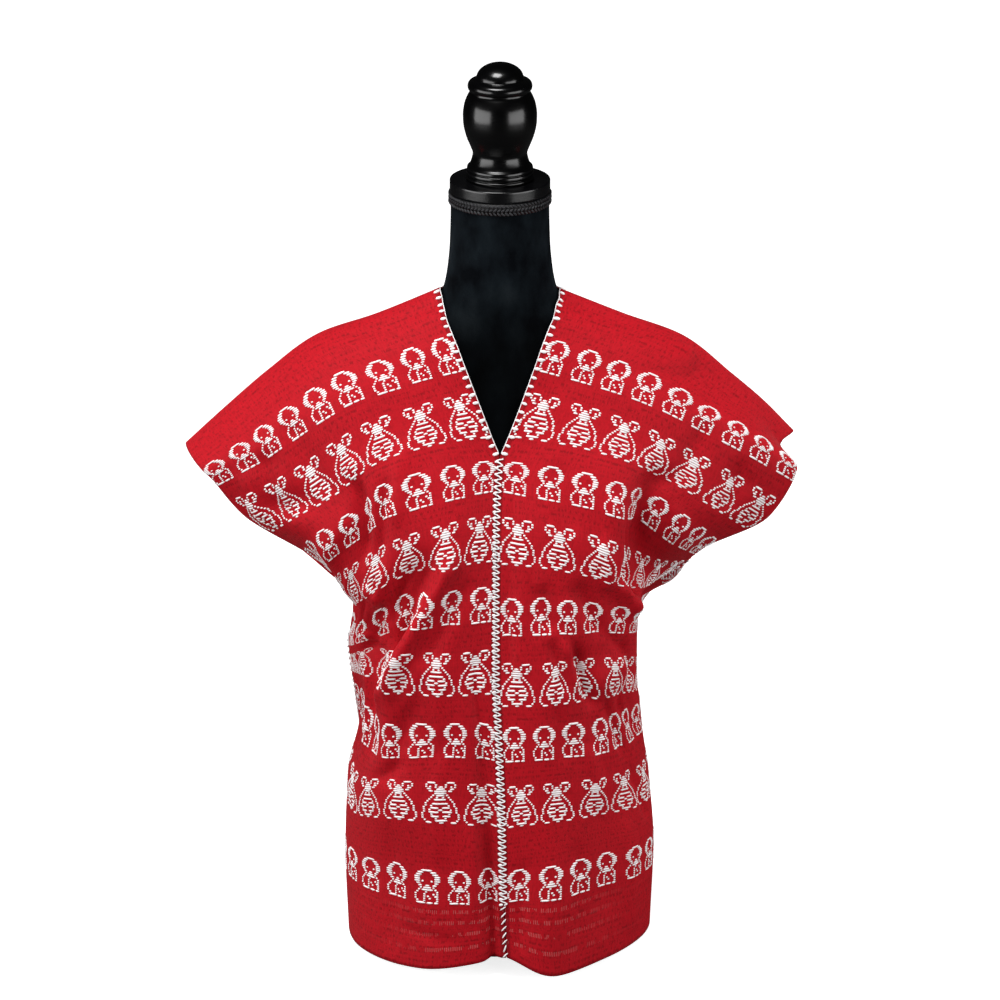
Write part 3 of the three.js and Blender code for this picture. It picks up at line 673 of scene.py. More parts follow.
def maths(tree, operation, first, second=0.0):
    return new(tree, "ShaderNodeMath", {0: first, 1: second}, operation=operation)


def times(tree, *values):
    product = values[0]
    for value in values[1:]:
        product = maths(tree, "MULTIPLY", product, value)
    return product


def plus(tree, *values):
    total = values[0]
    for value in values[1:]:
        total = maths(tree, "ADD", total, value)
    return total


def shade(colour, share):
    return tuple(share * c for c in colour)


def mix_colours(tree, share, first, second):
    first, second = [(*colour, 1) if isinstance(colour, tuple) else colour for colour in (first, second)]
    return new(tree, "ShaderNodeMix", {0: share, 6: first, 7: second}, 2, data_type="RGBA")


def add_bump(shader, height, strength, distance):
    inputs = {"Height": height, "Strength": strength, "Distance": distance}
    feed(shader, "Normal", node(shader.id_data, "ShaderNodeBump", inputs).outputs["Normal"])


# Materials
def open_picks(tree, stretched):
    """1 in the short dark slits between the threads of the plain bands."""
    plain = new(tree, "ShaderNodeAttribute", output="Fac", attribute_name="plain_band")
    slits = maths(tree, "GREATER_THAN", noise(tree, stretched(430, 150), 1.0, 1), 0.56)
    return times(tree, slits, wave(tree, stretched(0.2, 1), "Y", 58, 0.5, detail=1), plain)


def hem_picks(tree, stretched, across, along):
    """How pale the thin worn picks above each hem are, most so near the join."""
    from_hem = maths(tree, "MINIMUM", along, maths(tree, "SUBTRACT", WEB_LENGTH * MM, along))
    rows = []
    for at in HEM_PICKS:
        away = maths(tree, "ABSOLUTE", maths(tree, "SUBTRACT", from_hem, at * MM))
        rows.append(maths(tree, "LESS_THAN", away, PICK_REACH * MM))
    threads = maths(tree, "GREATER_THAN", wave(tree, stretched(1, 0.1), "X", 150, 1.5), 0.82)
    worn = maths(tree, "GREATER_THAN", noise(tree, stretched(160, 60), 1.0, 2), 0.46)
    return times(tree, threads, worn, plus(tree, *rows), map_range(tree, across, 0.03, 0.15, 0.3, 0.02))


def red_cotton():
    """Warp-faced red cotton with rows of open picks in its plain bands, pale picks near the hem and painted
    shade along the join.
    """
    base = tuple(bpy.context.scene.huipil_blouse.cotton_colour)
    deep = shade(base, 0.7)
    surface, tree, shader = new_material("woven_red_cotton", base, 0.66, 0.12, 0.05, (1.0, 0.6, 0.6))
    weave = new(tree, "ShaderNodeUVMap", uv_map="weave")

    def stretched(across, along):
        return scaled(tree, weave, (across, along, 1))

    streaks = noise(tree, stretched(420, 110), 1.0, 4)
    picks = noise(tree, stretched(26, 420), 1.0, 2)
    cloud = noise(tree, object_coords(tree), 16.0, 3)
    tone = plus(tree, times(tree, streaks, 0.65), times(tree, picks, 0.35))
    open_pick = open_picks(tree, stretched)
    across, along = axis_of(tree, weave, "X"), axis_of(tree, weave, "Y")
    join_groove_shade = maths(tree, "LESS_THAN", across, JOIN_SHADE * MM)
    colour = colour_ramp(tree, tone, [(0.3, deep), (0.5, base), (0.72, shade(base, 1.14))])
    colour = mix_colours(tree, times(tree, cloud, 0.24), colour, deep)
    colour = mix_colours(tree, times(tree, open_pick, 0.62), colour, shade(base, 0.4))
    colour = mix_colours(tree, hem_picks(tree, stretched, across, along), colour, (0.75, 0.42, 0.4))
    # Painted shade beside the join, where the webs' edges curl under the seam.
    colour = mix_colours(tree, times(tree, join_groove_shade, 0.5), colour, shade(base, 0.25))
    feed(shader, "Base Color", colour)
    ribs = wave(tree, weave, "X", 290, 1.2)
    height = plus(tree, times(tree, ribs, 0.5), tone)
    add_bump(shader, maths(tree, "SUBTRACT", height, open_pick), 0.35, 0.0005)
    return surface


def pale_yarn():
    """Soft off-white cotton yarn, bluish where it is worn."""
    base = tuple(bpy.context.scene.huipil_blouse.yarn_colour)
    surface, tree, shader = new_material("offwhite_yarn", base, 0.78, 0.3, 0.05)
    fibres = noise(tree, object_coords(tree, (500, 500, 1400)), 1.0, 3)
    cloud = noise(tree, object_coords(tree), 60.0, 2)
    colour = colour_ramp(tree, cloud, [(0.3, shade(base, 0.9)), (0.6, base)])
    feed(shader, "Base Color", mix_colours(tree, times(tree, fibres, 0.2), colour, (0.6, 0.6, 0.66)))
    add_bump(shader, fibres, 0.5, 0.0005)
    return surface


def black_velvet():
    """Deep black velvet with brushed, slightly bluish patches, and painted shade that darkens it lower down,
    in the neck's hollow.
    """
    tint = (0.6, 0.75, 0.9)
    surface, tree, shader = new_material("brushed_velvet", (0.004, 0.005, 0.007), 0.97, 0.03, 0.006, tint)
    brushed = noise(tree, object_coords(tree, (1, 1, 0.6)), 32.0, 9)
    nap = noise(tree, object_coords(tree, (1, 1, 0.4)), 900.0, 2)
    stops = [(0.36, (0.0015, 0.002, 0.0028)), (0.55, (0.005, 0.0072, 0.0092)), (0.8, (0.013, 0.017, 0.02))]
    # Painted shade: the velvet's colour is scaled down below the neck, where the V opening lies in shade.
    light = map_range(tree, axis_of(tree, object_coords(tree), "Z"), 0.69, 0.76, 0.2, 1.15)
    inputs = {0: colour_ramp(tree, brushed, stops), "Scale": light}
    feed(shader, "Base Color", new(tree, "ShaderNodeVectorMath", inputs, operation="SCALE"))
    add_bump(shader, plus(tree, nap, brushed), 0.35, 0.0006)
    return surface


def black_braid():
    """Black cord, with painted shade between its strands and painted light on their tops."""
    surface, tree, shader = new_material("braided_cord", (0.004, 0.004, 0.005), 0.5, 0.35)
    fibres = noise(tree, object_coords(tree, (300, 300, 1200)), 1.0, 3)
    flat = {0: object_coords(tree, (1, 1, 0))}
    from_axis = new(tree, "ShaderNodeVectorMath", flat, "Value", operation="LENGTH")
    # Painted shade and light: near black deep between the strands, lighter on their outer tops.
    gap_shade_top_light = map_range(tree, from_axis, 0.0522, 0.0532, 0, 1)
    feed(shader, "Base Color", mix_colours(tree, gap_shade_top_light, (0.001, 0.001, 0.0012), (0.022, 0.022, 0.025)))
    add_bump(shader, fibres, 0.6, 0.0005)
    return surface


def black_satin():
    """Satin stretched over the cap plate, with faint pulls towards its middle."""
    surface, tree, shader = new_material("stretched_satin", (0.001, 0.001, 0.0012), 0.24, 0.6)
    pulls = noise(tree, object_coords(tree, (1, 1, 0.3)), 55.0, 4)
    stops = [(0.3, (0.0005, 0.0005, 0.0008)), (0.75, (0.002, 0.002, 0.0025))]
    feed(shader, "Base Color", colour_ramp(tree, pulls, stops))
    add_bump(shader, pulls, 0.3, 0.0014)
    return surface


def black_lacquer():
    """Gloss black lacquer over turned wood, faintly uneven."""
    surface, tree, shader = new_material("gloss_lacquer", (0.0008, 0.0008, 0.001), 0.2, 0.5)
    grain = noise(tree, object_coords(tree, (1, 1, 5)), 22.0, 4)
    stops = [(0.35, (0.0004, 0.0004, 0.0005)), (0.8, (0.001, 0.001, 0.0012))]
    feed(shader, "Base Color", colour_ramp(tree, grain, stops))
    feed(shader, "Roughness", map_range(tree, grain, 0, 1, 0.17, 0.25))
    add_bump(shader, grain, 0.06, 0.0008)
    return surface


def pale_floor():
    """A white floor that the camera sees lit through and that throws little light back."""
    surface, tree, shader = new_material("studio_floor", (0.9, 0.9, 0.9), 0.95, 0.0)
    grain = noise(tree, object_coords(tree), 3.0, 4)
    seen = colour_ramp(tree, grain, [(0.3, (0.86, 0.86, 0.86)), (0.7, (0.9, 0.9, 0.9))])
    camera_ray = new(tree, "ShaderNodeLightPath", output="Is Camera Ray")
    feed(shader, "Base Color", mix_colours(tree, camera_ray, (0.04, 0.04, 0.04), seen))
    feed(shader, "Emission Color", (1, 1, 1, 1))
    feed(shader, "Emission Strength", times(tree, camera_ray, FLOOR_GLOW))
    return surface


MATERIALS = {
    "woven_red_cotton": red_cotton,
    "offwhite_yarn": pale_yarn,
    "brushed_velvet": black_velvet,
    "braided_cord": black_braid,
    "stretched_satin": black_satin,
    "gloss_lacquer": black_lacquer,
    "studio_floor": pale_floor,
}


@lru_cache(maxsize=None)
def material(name):
    return MATERIALS[name]()


# Geometry Nodes
def new_tree(name, sockets):
    """An empty tree with its inputs beside the geometry, and the sockets that they come in by."""
    tree = bpy.data.node_groups.new(name, "GeometryNodeTree")
    tree.interface.new_socket("Geometry", in_out="INPUT", socket_type="NodeSocketGeometry")
    for socket, kind in sockets.items():
        tree.interface.new_socket(socket, in_out="INPUT", socket_type="NodeSocket" + kind)
    tree.interface.new_socket("Geometry", in_out="OUTPUT", socket_type="NodeSocketGeometry")
    return tree, node(tree, "NodeGroupInput").outputs


def finish_tree(tree, geometry, surface):
    """Every tree ends in Realize Instances and Set Material."""
    realized = new(tree, "GeometryNodeRealizeInstances", {"Geometry": geometry})
    smooth = new(tree, "GeometryNodeSetShadeSmooth", {"Geometry": realized})
    painted = new(tree, "GeometryNodeSetMaterial", {"Geometry": smooth, "Material": surface})
    node(tree, "NodeGroupOutput", {"Geometry": painted})


@lru_cache(maxsize=None)
def stitch_tree():
    """Short stitches set along a path, lying on the cloth and turned from its direction."""
    floats = dict.fromkeys(("Pitch", "Length", "Thickness", "Reach", "Turn", "Unevenness"), "Float")
    tree, given = new_tree("Stitches along a seam", {**floats, "Seed": "Int", "Material": "Material"})

    def random_between(low, high):
        inputs = {2: low, 3: high, "Seed": given["Seed"]}
        return new(tree, "FunctionNodeRandomValue", inputs, 1, data_type="FLOAT")

    path = new(tree, "GeometryNodeMeshToCurve", {"Mesh": given["Geometry"]})
    spacing = {"Curve": path, "Length": given["Pitch"]}
    spaced = new(tree, "GeometryNodeResampleCurve", spacing, mode="LENGTH")
    outward = new(tree, "GeometryNodeInputNamedAttribute", {"Name": "outward"}, data_type="FLOAT_VECTOR")
    directions = {"Primary Axis": outward, "Secondary Axis": new(tree, "GeometryNodeInputTangent")}
    axes = new(tree, "FunctionNodeAxesToRotation", directions, primary_axis="Z", secondary_axis="X")
    lean = {0: random_between(-1, 1), 1: given["Unevenness"], 2: given["Turn"]}
    swing = new(tree, "ShaderNodeMath", lean, operation="MULTIPLY_ADD")
    angles = new(tree, "ShaderNodeCombineXYZ", {"Z": swing})
    turns = {"Rotation": axes, "Rotate By": new(tree, "FunctionNodeEulerToRotation", {"Euler": angles})}
    turned = new(tree, "FunctionNodeRotateRotation", turns, rotation_space="LOCAL")
    yarn = new(tree, "GeometryNodeMeshUVSphere", {"Segments": 8, "Rings": 6, "Radius": 0.5})
    thick = given["Thickness"]
    flat = times(tree, thick, STITCH_FLATNESS)
    size = new(tree, "ShaderNodeCombineXYZ", {"X": thick, "Y": given["Length"], "Z": flat})
    shift = new(tree, "ShaderNodeCombineXYZ", {"Y": given["Reach"]})
    shaped = new(tree, "GeometryNodeTransform", {"Geometry": yarn, "Scale": size, "Translation": shift})
    inputs = {"Points": spaced, "Instance": shaped, "Rotation": turned, "Scale": random_between(0.86, 1.14)}
    finish_tree(tree, new(tree, "GeometryNodeInstanceOnPoints", inputs), given["Material"])
    return tree


@lru_cache(maxsize=None)
def thread_tree():
    """A round thread along a path."""
    tree, given = new_tree("Thread along a path", {"Radius": "Float", "Material": "Material"})
    path = new(tree, "GeometryNodeMeshToCurve", {"Mesh": given["Geometry"]})
    circle = {"Resolution": 6, "Radius": given["Radius"]}
    profile = new(tree, "GeometryNodeCurvePrimitiveCircle", circle)
    inputs = {"Curve": path, "Profile Curve": profile, "Fill Caps": True}
    finish_tree(tree, new(tree, "GeometryNodeCurveToMesh", inputs), given["Material"])
    return tree


def along_path(places, outward, tree, values, closed=False):
    """The mesh that a tree makes along a path of places in millimetres."""
    count = len(places)
    edges = [(k, k + 1) for k in range(count - 1)]
    if closed:
        edges.append((count - 1, 0))
    mesh = new_mesh("path", places, [], edges)
    attribute = mesh.attributes.new("outward", "FLOAT_VECTOR", "POINT")
    attribute.data.foreach_set("vector", np.asarray(outward, np.float32).ravel())
    path = show("path", mesh)
    modifier = path.modifiers.new("Nodes", "NODES")
    modifier.node_group = tree
    for socket in tree.interface.items_tree:
        if socket.in_out == "INPUT" and socket.name in values:
            modifier[socket.identifier] = values[socket.name]
    evaluated = path.evaluated_get(bpy.context.evaluated_depsgraph_get())
    result = bpy.data.meshes.new_from_object(evaluated)
    path.modifiers.remove(modifier)
    bpy.data.objects.remove(path)
    bpy.data.meshes.remove(mesh)
    return result


def stitches(path, kind, surface, pitch, thick, seed, lean=1, reach=0.0, closed=False):
    """Stitches of one kind along a path, leaning to one side or the other."""
    length, share, turn, uneven = STITCH_KINDS[kind]
    values = {
        "Pitch": pitch,
        "Length": length,
        "Thickness": thick * share,
        "Reach": reach,
        "Turn": turn * lean,
        "Unevenness": uneven,
        "Seed": seed,
        "Material": surface,
    }
    return along_path(*path, stitch_tree(), values, closed)


def thread(path, surface, radius):
    return along_path(*path, thread_tree(), {"Radius": radius, "Material": surface})


def joined_piece(name, meshes, surface):
    """One piece of one material from several meshes."""
    bm = bmesh.new()
    for mesh in meshes:
        bm.from_mesh(mesh)
        bpy.data.meshes.remove(mesh)
    joined = bpy.data.meshes.new(name)
    bm.to_mesh(joined)
    bm.free()
    for attribute in [a for a in joined.attributes if a.name == "outward"]:
        joined.attributes.remove(attribute)
    joined.materials.clear()
    joined.materials.append(surface)
    joined.shade_smooth()
    return show(name, joined)


# The webs
def row_middle(side, middle, lower):
    return middle - lower if side > 0 else middle


def figure_reach(side, v):
    """1 where a figure row lies, 0 in the plain bands between."""
    inside = np.zeros_like(v)
    for place, figure, beat, lower in FIGURE_ROWS:
        middle = row_middle(side, place, lower)
        half = FIGURES[figure]["high"] * beat / 2
        for at in (middle, WEB_LENGTH - middle):
            inside = np.maximum(inside, smooth_step((half + ROW_MARGIN - np.abs(v - at)) / ROW_FADE))
    return inside


def web_piece(side, surface):
    """The thin shell of one web, with its own places across and along as UVs."""
    shape = web(side)
    index = np.arange(shape.u.size).reshape(shape.u.shape)
    inner = shape.u.size
    lifted = shape.out * (CLOTH / 2)
    places = np.concatenate([(shape.place + lifted).reshape(-1, 3), (shape.place - lifted).reshape(-1, 3)])
    a, b = index[:-1, :-1].ravel(), index[:-1, 1:].ravel()
    d, c = index[1:, :-1].ravel(), index[1:, 1:].ravel()
    rim = np.concatenate([index[0, :-1], index[:-1, -1], index[-1, :0:-1], index[:0:-1, 0]])
    following = np.roll(rim, -1)
    outer_faces = np.stack([a, b, c, d], 1)
    inner_faces = np.stack([a, d, c, b], 1) + inner
    rim_faces = np.stack([rim + inner, following + inner, following, rim], 1)
    faces = np.concatenate([outer_faces, inner_faces, rim_faces])
    if side < 0:
        faces = faces[:, ::-1]
    piece = new_piece("left_cloth" if side < 0 else "right_cloth", places, faces.tolist(), surface)
    mesh = piece.data
    u, v = np.tile(shape.u.ravel(), 2), np.tile(shape.v.ravel(), 2)
    corner = np.zeros(len(mesh.loops), np.int32)
    mesh.loops.foreach_get("vertex_index", corner)
    layer = mesh.uv_layers.new(name="weave")
    layer.uv.foreach_set("vector", (np.stack([u, v], 1)[corner] * MM).astype(np.float32).ravel())
    plain = mesh.attributes.new("plain_band", "FLOAT", "POINT")
    plain.data.foreach_set("value", (1 - figure_reach(side, v)).astype(np.float32))
    return piece


def yarn_runs(chart):
    """Each unbroken run of marks in a chart: its row from the top, first column and length."""
    found = []
    for row, line in enumerate(chart):
        start = None
        for column, mark in enumerate(line + "."):
            if mark == "#" and start is None:
                start = column
            if mark != "#" and start is not None:
                found.append((row, start, column - start))
                start = None
    return found


def web_figures(side, facing, random):
    """Ends across the web, place along it and height of every run of yarn on one face of one web."""
    runs = []
    for place, name, beat, lower in FIGURE_ROWS:
        middle = row_middle(side, place, lower)
        figure = FIGURES[name]
        chart = figure["chart"]
        cell = figure["wide"] / len(chart[0])
        pick = figure["high"] * beat / len(chart)
        for k in range(figure["count"]):
            u0 = figure["first"] + figure["pitch"] * k + random.normal(0, FIGURE_SHIFT[0])
            v0 = middle if facing > 0 else WEB_LENGTH - middle
            v0 += random.normal(0, FIGURE_SHIFT[1])
            for row, column, length in yarn_runs(chart):
                across = (column + length / 2 - len(chart[0]) / 2) * cell
                down = (row + 0.5 - len(chart) / 2) * pick
                u = u0 + side * facing * across
                v = v0 - facing * down
                half = length * cell / 2 + YARN_OVERRUN
                runs.append((u - half, u + half, v, pick))
    return np.array(runs)


def pillow_faces(spans):
    """Faces of one closed pillow through rings of four places."""
    faces = []
    for k in range(spans):
        for i in range(4):
            following = (i + 1) % 4
            faces.append([4 * k + i, 4 * k + 4 + i, 4 * k + 4 + following, 4 * k + following])
    last = 4 * spans
    return np.array([*faces, [0, 1, 2, 3], [last + 3, last + 2, last + 1, last]])


def yarn_pillows(side, runs, rise, random):
    """Raised yarn, one closed pillow for each run."""
    shape = web(side)
    all_places, all_faces, offset = [], [], 0
    spans = np.maximum(2, np.ceil((runs[:, 1] - runs[:, 0]) / YARN_STEP).astype(int))
    for n in np.unique(spans):
        chosen = runs[spans == n]
        t = np.linspace(0, 1, n + 1)
        at_end = (t == 0) | (t == 1)
        t[1:-1] = 0.5 + (t[1:-1] - 0.5) * (1.0 if n == 2 else YARN_SPREAD)
        grow = random.uniform(*YARN_GROWTH, (len(chosen), 1))
        u = chosen[:, :1] + (chosen[:, 1:2] - chosen[:, :1]) * t
        half = chosen[:, 3:4] * YARN_FILL * np.where(at_end, YARN_TAPER, 1.0) * grow
        height = np.where(at_end, YARN_END_RISE, 1.0) * rise * grow
        ring_v = np.stack([-half, -YARN_CROWN * half, YARN_CROWN * half, half], -1)
        ring_h = np.stack([0 * height, height, height, 0 * height], -1) + CLOTH / 2 - YARN_SINK
        places, _ = shape.at(u[..., None] + 0 * ring_v, chosen[:, 2, None, None] + ring_v, ring_h)
        faces = pillow_faces(n)
        if side < 0:
            faces = faces[:, ::-1]
        base = np.arange(len(chosen))[:, None, None] * (n + 1) * 4
        all_faces.append((faces[None] + base).reshape(-1, 4) + offset)
        all_places.append(places.reshape(-1, 3))
        offset += len(all_places[-1])
    return np.concatenate(all_places), np.concatenate(all_faces)


# Seams
def join_line(face, low, high, spacing):
    """Each web's own distance along itself at heights up a centre join."""
    z = np.arange(low, high, spacing, float)
    found = {}
    for side in (-1, 1):
        shape = web(side)
        if face == "front":
            rows = np.nonzero(shape.v[:, 0] < NECK_FRONT)[0]
        else:
            rows = np.nonzero(shape.v[:, 0] > NECK_BACK)[0][::-1]
        found[side] = np.interp(z, shape.place[rows, 0, 2], shape.v[rows, 0])
    return found


def join_path(face, low, high, spacing, across_at, lift):
    """A path up a centre join. Its place across, by step, is on the right web where it is above 0."""
    found = join_line(face, low, high, spacing)
    places, outs = [], []
    for k in range(len(found[1])):
        across = across_at(k)
        side = 1 if across > 0 else -1
        place, out = web(side).at(abs(across), found[side][k], lift)
        places.append(place)
        outs.append(out)
    return np.array(places), np.array(outs)


def wave_across(k):
    """How far across the join the zig-zag thread is at a step."""
    turn = 2 * math.pi * k / WAVE_STEPS
    across = WAVE_REACH * math.sin(turn) + 0.25 * WAVE_REACH * math.sin(2 * turn)
    return across if across else 0.01


def length_setting(name, description, default, low=0.0, high=100.0):
    return bpy.props.FloatProperty(
        name=name, description=description, unit="LENGTH", default=default, min=low, max=high
    )


def colour_setting(name, description, default):
    return bpy.props.FloatVectorProperty(
        name=name, description=description, subtype="COLOR", size=3, min=0, max=1, default=default
    )


class BlouseSettings(bpy.types.PropertyGroup):
    """Sizes and colours of the blouse"""

    cotton_colour: colour_setting("Cotton", "Colour of the woven ground", (0.43, 0.0036, 0.0105))
    yarn_colour: colour_setting("Yarn", "Colour of the brocade and stitches", (0.94, 0.92, 0.92))
    yarn_rise: length_setting(
        "Yarn Rise", "How far the brocade stands off the cloth", 0.0009, 0.0002, 0.002
    )
    join_pitch: length_setting("Join Pitch", "Spacing of the zig-zag join's stitches", 0.0065, 0.003, 0.02)
    neck_pitch: length_setting("Neck Pitch", "Spacing of the buttonhole stitches", 0.0092, 0.003, 0.02)
    stitch_thickness: length_setting(
        "Stitch Thickness", "Thickness of the sewing yarn", 0.0026, 0.0005, 0.005
    )


class FormSettings(bpy.types.PropertyGroup):
    """Sizes of the dress form's shown pieces"""

    rounds: bpy.props.IntProperty(
        name="Sides", description="Sides of the turned and covered pieces", default=96, min=24, max=256
    )
    braid_pitch: length_setting("Braid Pitch", "Spacing of the braid's strands", 0.0042, 0.002, 0.01)


class StageSettings(bpy.types.PropertyGroup):
    """The camera's place and lens"""

    pitch: bpy.props.FloatProperty(
        name="Pitch", description="How far the camera looks down", subtype="ANGLE", default=CAMERA_PITCH
    )
    distance: length_setting("Distance", "From the camera to the middle of the view", 6.8)
    aim: length_setting("Aim", "Height of the middle of the view", 0.501)
    lens: bpy.props.FloatProperty(name="Lens", description="Focal length in millimetres", default=233.1)


class HUIPIL_OT_webs(bpy.types.Operator):
    """Make the two webs of red cotton"""

    bl_idname = "mesh.huipil_webs"
    bl_label = "Webs"

    def execute(self, context):
        surface = material("woven_red_cotton")
        for side, solid in ((-1, "left_web"), (1, "right_web")):
            piece = web_piece(side, surface)
            hand_over(piece, solid)
        return {"FINISHED"}


class HUIPIL_OT_figures(bpy.types.Operator):
    """Make the brocaded lions and bees"""

    bl_idname = "mesh.huipil_figures"
    bl_label = "Brocaded Figures"

    def execute(self, context):
        rise = context.scene.huipil_blouse.yarn_rise / MM
        surface = material("offwhite_yarn")
        random = np.random.default_rng(7)
        for side, side_name in ((-1, "left"), (1, "right")):
            for facing, face_name in ((1, "front"), (-1, "back")):
                runs = web_figures(side, facing, random)
                places, faces = yarn_pillows(side, runs, rise, random)
                piece = new_piece(f"{side_name}_{face_name}_figures", places, faces.tolist(), surface)
                hand_over(piece)
        return {"FINISHED"}


class HUIPIL_OT_seams(bpy.types.Operator):
    """Sew the centre joins, the neck edge and the side seams"""

    bl_idname = "mesh.huipil_seams"
    bl_label = "Seams"

    def execute(self, context):
        settings = context.scene.huipil_blouse
        surface = material("offwhite_yarn")
        thick = settings.stitch_thickness
        sewn = {
            "join_stitches": self.sew_joins(surface, thick, settings.join_pitch),
            "neck_stitches": self.sew_neck(surface, thick, settings.neck_pitch),
            "side_stitches": self.sew_sides(surface, thick),
        }
        for name, meshes in sewn.items():
            hand_over(joined_piece(name, meshes, surface))
        return {"FINISHED"}

    def sew_joins(self, surface, thick, pitch):
        meshes = []
        for face, foot, low, high in JOINS:
            path = join_path(face, low, high, pitch / MM / WAVE_STEPS, wave_across, STITCH_LIFT + 0.2)
            meshes.append(thread(path, surface, thick * JOIN_THREAD))
            path = join_path(face, low, high, PATH_STEP, lambda k: TEETH_ACROSS, STITCH_LIFT)
            meshes.append(stitches(path, "teeth", surface, pitch, thick, seed=3))
            path = join_path(face, foot, low - 2, PATH_STEP, lambda k: SPARSE_ACROSS, STITCH_LIFT)
            meshes.append(stitches(path, "sparse", surface, SPARSE_PITCH, thick, seed=5))
        return meshes

    def sew_neck(self, surface, thick, pitch):
        meshes = []
        for side in (-1, 1):
            v = np.arange(NECK_FRONT + 2, NECK_BACK - 1, PATH_STEP, float)
            path = web(side).at(np.full_like(v, 0.8), v, np.full_like(v, STITCH_LIFT - 0.1))
            # Going up the web, the cloth lies to the path's left on one side and to its right on the other.
            sides = {"lean": side, "reach": -side * BUTTONHOLE_REACH}
            meshes.append(stitches(path, "buttonhole", surface, pitch, thick, seed=11 + side, **sides))
            edge = web(side).at(np.full_like(v, 0.2), v, np.full_like(v, 0.25))
            meshes.append(thread(edge, surface, EDGE_THREAD))
        return meshes

    def sew_sides(self, surface, thick):
        meshes = []
        for side in (-1, 1):
            v = np.arange(4, ARMHOLE - 2, PATH_STEP, float)
            path = web(side).at(np.full_like(v, WEB_WIDTH), v, np.full_like(v, STITCH_LIFT))
            made = stitches(path, "overcast", surface, OVERCAST_PITCH, thick, seed=21 + side, lean=side)
            meshes.append(made)
        return meshes


class HUIPIL_OT_form(bpy.types.Operator):
    """Make the dress form's velvet torso, braid and cap plate"""

    bl_idname = "mesh.huipil_form"
    bl_label = "Dress Form"

    def execute(self, context):
        form = context.scene.huipil_form
        self.make_torso(form.rounds)
        self.make_braid(form.rounds, form.braid_pitch)
        self.make_cap(form.rounds)
        return {"FINISHED"}

    def make_torso(self, sides):
        levels = np.unique(np.concatenate([[row[0] for row in FORM], np.arange(0, FORM_TOP, TORSO_STEP)]))
        half, front, back, square = form_curve(levels).T[:, :, None]
        c, s = unit_circle(sides)[:, :2].T
        reach = (np.abs(c) ** square + np.abs(s) ** square) ** (-1 / square)
        z = np.repeat(levels[:, None], sides, 1)
        rings = np.stack([half * c * reach, np.where(s < 0, front, back) * s * reach, z], -1)
        places, faces = closed_rings(rings, (0, 0, 0), (0, 0, FORM_TOP))
        piece = new_piece("velvet_torso", places, faces, material("brushed_velvet"))
        hand_over(piece, "form_torso")

    def make_braid(self, sides, pitch):
        surface = material("braided_cord")
        around = unit_circle(sides)
        meshes = [self.tape_mesh(around, BRAID_MIDDLE - 0.9)]
        for row, lean in enumerate(BRAID_LEANS):
            height = FORM_TOP - BRAID_HEIGHT + BRAID_HEIGHT * (row + 0.5) / len(BRAID_LEANS)
            path = (around * BRAID_MIDDLE + [0, 0, height], around)
            sides = {"lean": lean, "closed": True}
            meshes.append(stitches(path, "strand", surface, pitch, BRAID_STRAND, seed=31 + row, **sides))
        hand_over(joined_piece("neck_tape", meshes, surface), "neck_braid")

    def tape_mesh(self, around, outside):
        """The flat band under the braid's strands."""
        inside, low, high = BRAID_INSIDE + PLAY, FORM_TOP - BRAID_HEIGHT, FORM_TOP
        corners = [(inside, low), (outside, low), (outside, high), (inside, high)]
        places = np.concatenate([around * r + [0, 0, z] for r, z in corners])
        index = np.arange(len(places)).reshape(4, -1)
        turned = np.roll(index, -1, 1)
        faces = np.stack([index, turned, np.roll(turned, -1, 0), np.roll(index, -1, 0)], -1)
        return new_mesh("tape", places, faces.reshape(-1, 4).tolist())

    def make_cap(self, sides):
        foot = [(CAP_RADIUS - inset, rise) for inset, rise in CAP_FOOT]
        head = [(CAP_RADIUS - inset, CAP_HEIGHT - drop) for inset, drop in CAP_HEAD]
        outline = [(0, 0), *foot, *head, (0, CAP_HEIGHT)]
        piece = turned_piece("satin_cap", outline, FORM_TOP + PLAY, material("stretched_satin"), sides)
        hand_over(piece, "cap_plate")


class HUIPIL_OT_finial(bpy.types.Operator):
    """Turn the finial on top of the neck"""

    bl_idname = "mesh.huipil_finial"
    bl_label = "Finial"

    def execute(self, context):
        sides = context.scene.huipil_form.rounds
        base = FORM_TOP + CAP_HEIGHT + 2 * PLAY
        surface = material("gloss_lacquer")
        piece = turned_piece("turned_finial", rounded_outline(FINIAL), base, surface, sides)
        hand_over(piece, "finial")
        return {"FINISHED"}


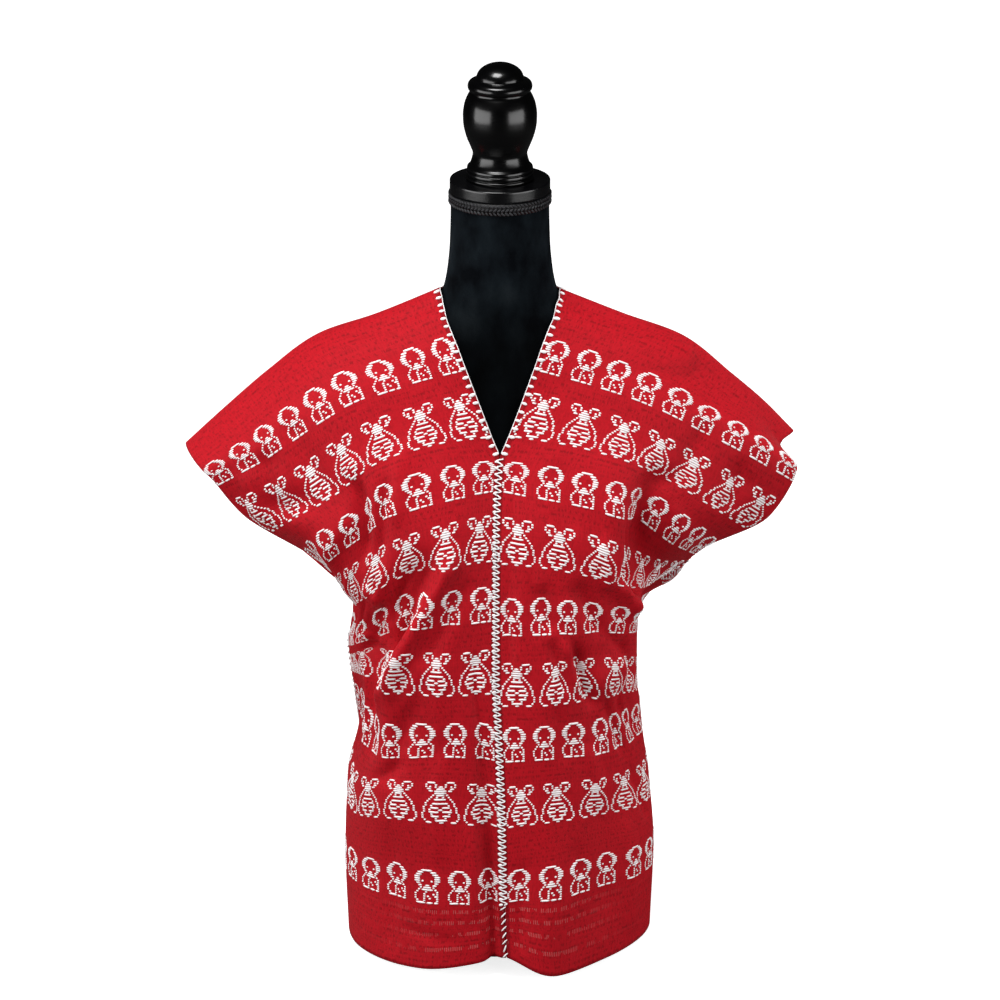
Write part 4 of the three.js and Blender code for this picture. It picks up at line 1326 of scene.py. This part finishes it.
class HUIPIL_OT_stage(bpy.types.Operator):
    """Set the floor, the lights and the camera"""

    bl_idname = "scene.huipil_stage"
    bl_label = "Stage"

    def execute(self, context):
        self.make_floor()
        self.make_world(context)
        self.make_lights(context)
        self.make_camera(context, context.scene.huipil_stage)
        return {"FINISHED"}

    def make_floor(self):
        wide = FLOOR_REACH
        places = [(-wide, -wide, 0), (wide, -wide, 0), (wide, wide, 0), (-wide, wide, 0)]
        floor = new_piece("floor", places, [(0, 1, 2, 3)], material("studio_floor"))

    def make_world(self, context):
        world = bpy.data.worlds.new("studio")
        world.use_nodes = True
        tree = world.node_tree
        background = tree.nodes["Background"]
        feed(background, "Color", (1, 1, 1, 1))
        glossy_ray = new(tree, "ShaderNodeLightPath", output="Is Glossy Ray")
        dimmed = times(tree, glossy_ray, WORLD_LIGHT - GLOSSY_WORLD_LIGHT)
        feed(background, "Strength", maths(tree, "SUBTRACT", WORLD_LIGHT, dimmed))
        context.scene.world = world
        context.scene.view_settings.view_transform = "Standard"

    def make_lights(self, context):
        for name, place, wide, high, power, mirrored in SOFTBOXES:
            light = bpy.data.lights.new(name, "AREA")
            light.shape = "RECTANGLE"
            light.size = wide
            light.size_y = high
            light.energy = power
            lamp = bpy.data.objects.new(name, light)
            lamp.location = place
            lamp.visible_glossy = mirrored
            lamp.rotation_euler = (Vector(LIGHT_AIM) - Vector(place)).to_track_quat("-Z", "Y").to_euler()
            context.collection.objects.link(lamp)

    def make_camera(self, context, stage):
        camera = bpy.data.cameras.new("camera")
        camera.sensor_width = 36
        camera.lens = stage.lens
        camera.clip_end = 60
        view = bpy.data.objects.new("camera", camera)
        back = stage.distance * math.cos(stage.pitch)
        up = stage.distance * math.sin(stage.pitch)
        view.location = (0, -back, stage.aim + up)
        view.rotation_euler = (math.pi / 2 - stage.pitch, 0, 0)
        context.collection.objects.link(view)
        context.scene.camera = view


class HUIPIL_PT_panel(bpy.types.Panel):
    """The blouse's sizes and the pieces that make it"""

    bl_label = "Huipil Blouse"
    bl_idname = "HUIPIL_PT_panel"
    bl_space_type = "VIEW_3D"
    bl_region_type = "UI"
    bl_category = "Huipil"

    def draw(self, context):
        for name in SETTINGS:
            group = getattr(context.scene, name)
            column = self.layout.column()
            for key in group.bl_rna.properties.keys():
                if key not in ("rna_type", "name"):
                    column.prop(group, key)
        for operator in OPERATORS:
            self.layout.operator(operator.bl_idname)


SETTINGS = {
    "huipil_blouse": BlouseSettings,
    "huipil_form": FormSettings,
    "huipil_stage": StageSettings,
}
OPERATORS = (
    HUIPIL_OT_webs,
    HUIPIL_OT_figures,
    HUIPIL_OT_seams,
    HUIPIL_OT_form,
    HUIPIL_OT_finial,
    HUIPIL_OT_stage,
)
CLASSES = (*SETTINGS.values(), *OPERATORS, HUIPIL_PT_panel)


def register():
    for cls in CLASSES:
        bpy.utils.register_class(cls)
    for name, group in SETTINGS.items():
        setattr(bpy.types.Scene, name, bpy.props.PointerProperty(type=group))


def unregister():
    for name in reversed(SETTINGS):
        delattr(bpy.types.Scene, name)
    for cls in reversed(CLASSES):
        bpy.utils.unregister_class(cls)


def main():
    register()
    bpy.ops.mesh.huipil_webs()
    bpy.ops.mesh.huipil_figures()
    bpy.ops.mesh.huipil_seams()
    bpy.ops.mesh.huipil_form()
    bpy.ops.mesh.huipil_finial()
    bpy.ops.scene.huipil_stage()


if __name__ == "__main__":
    main()
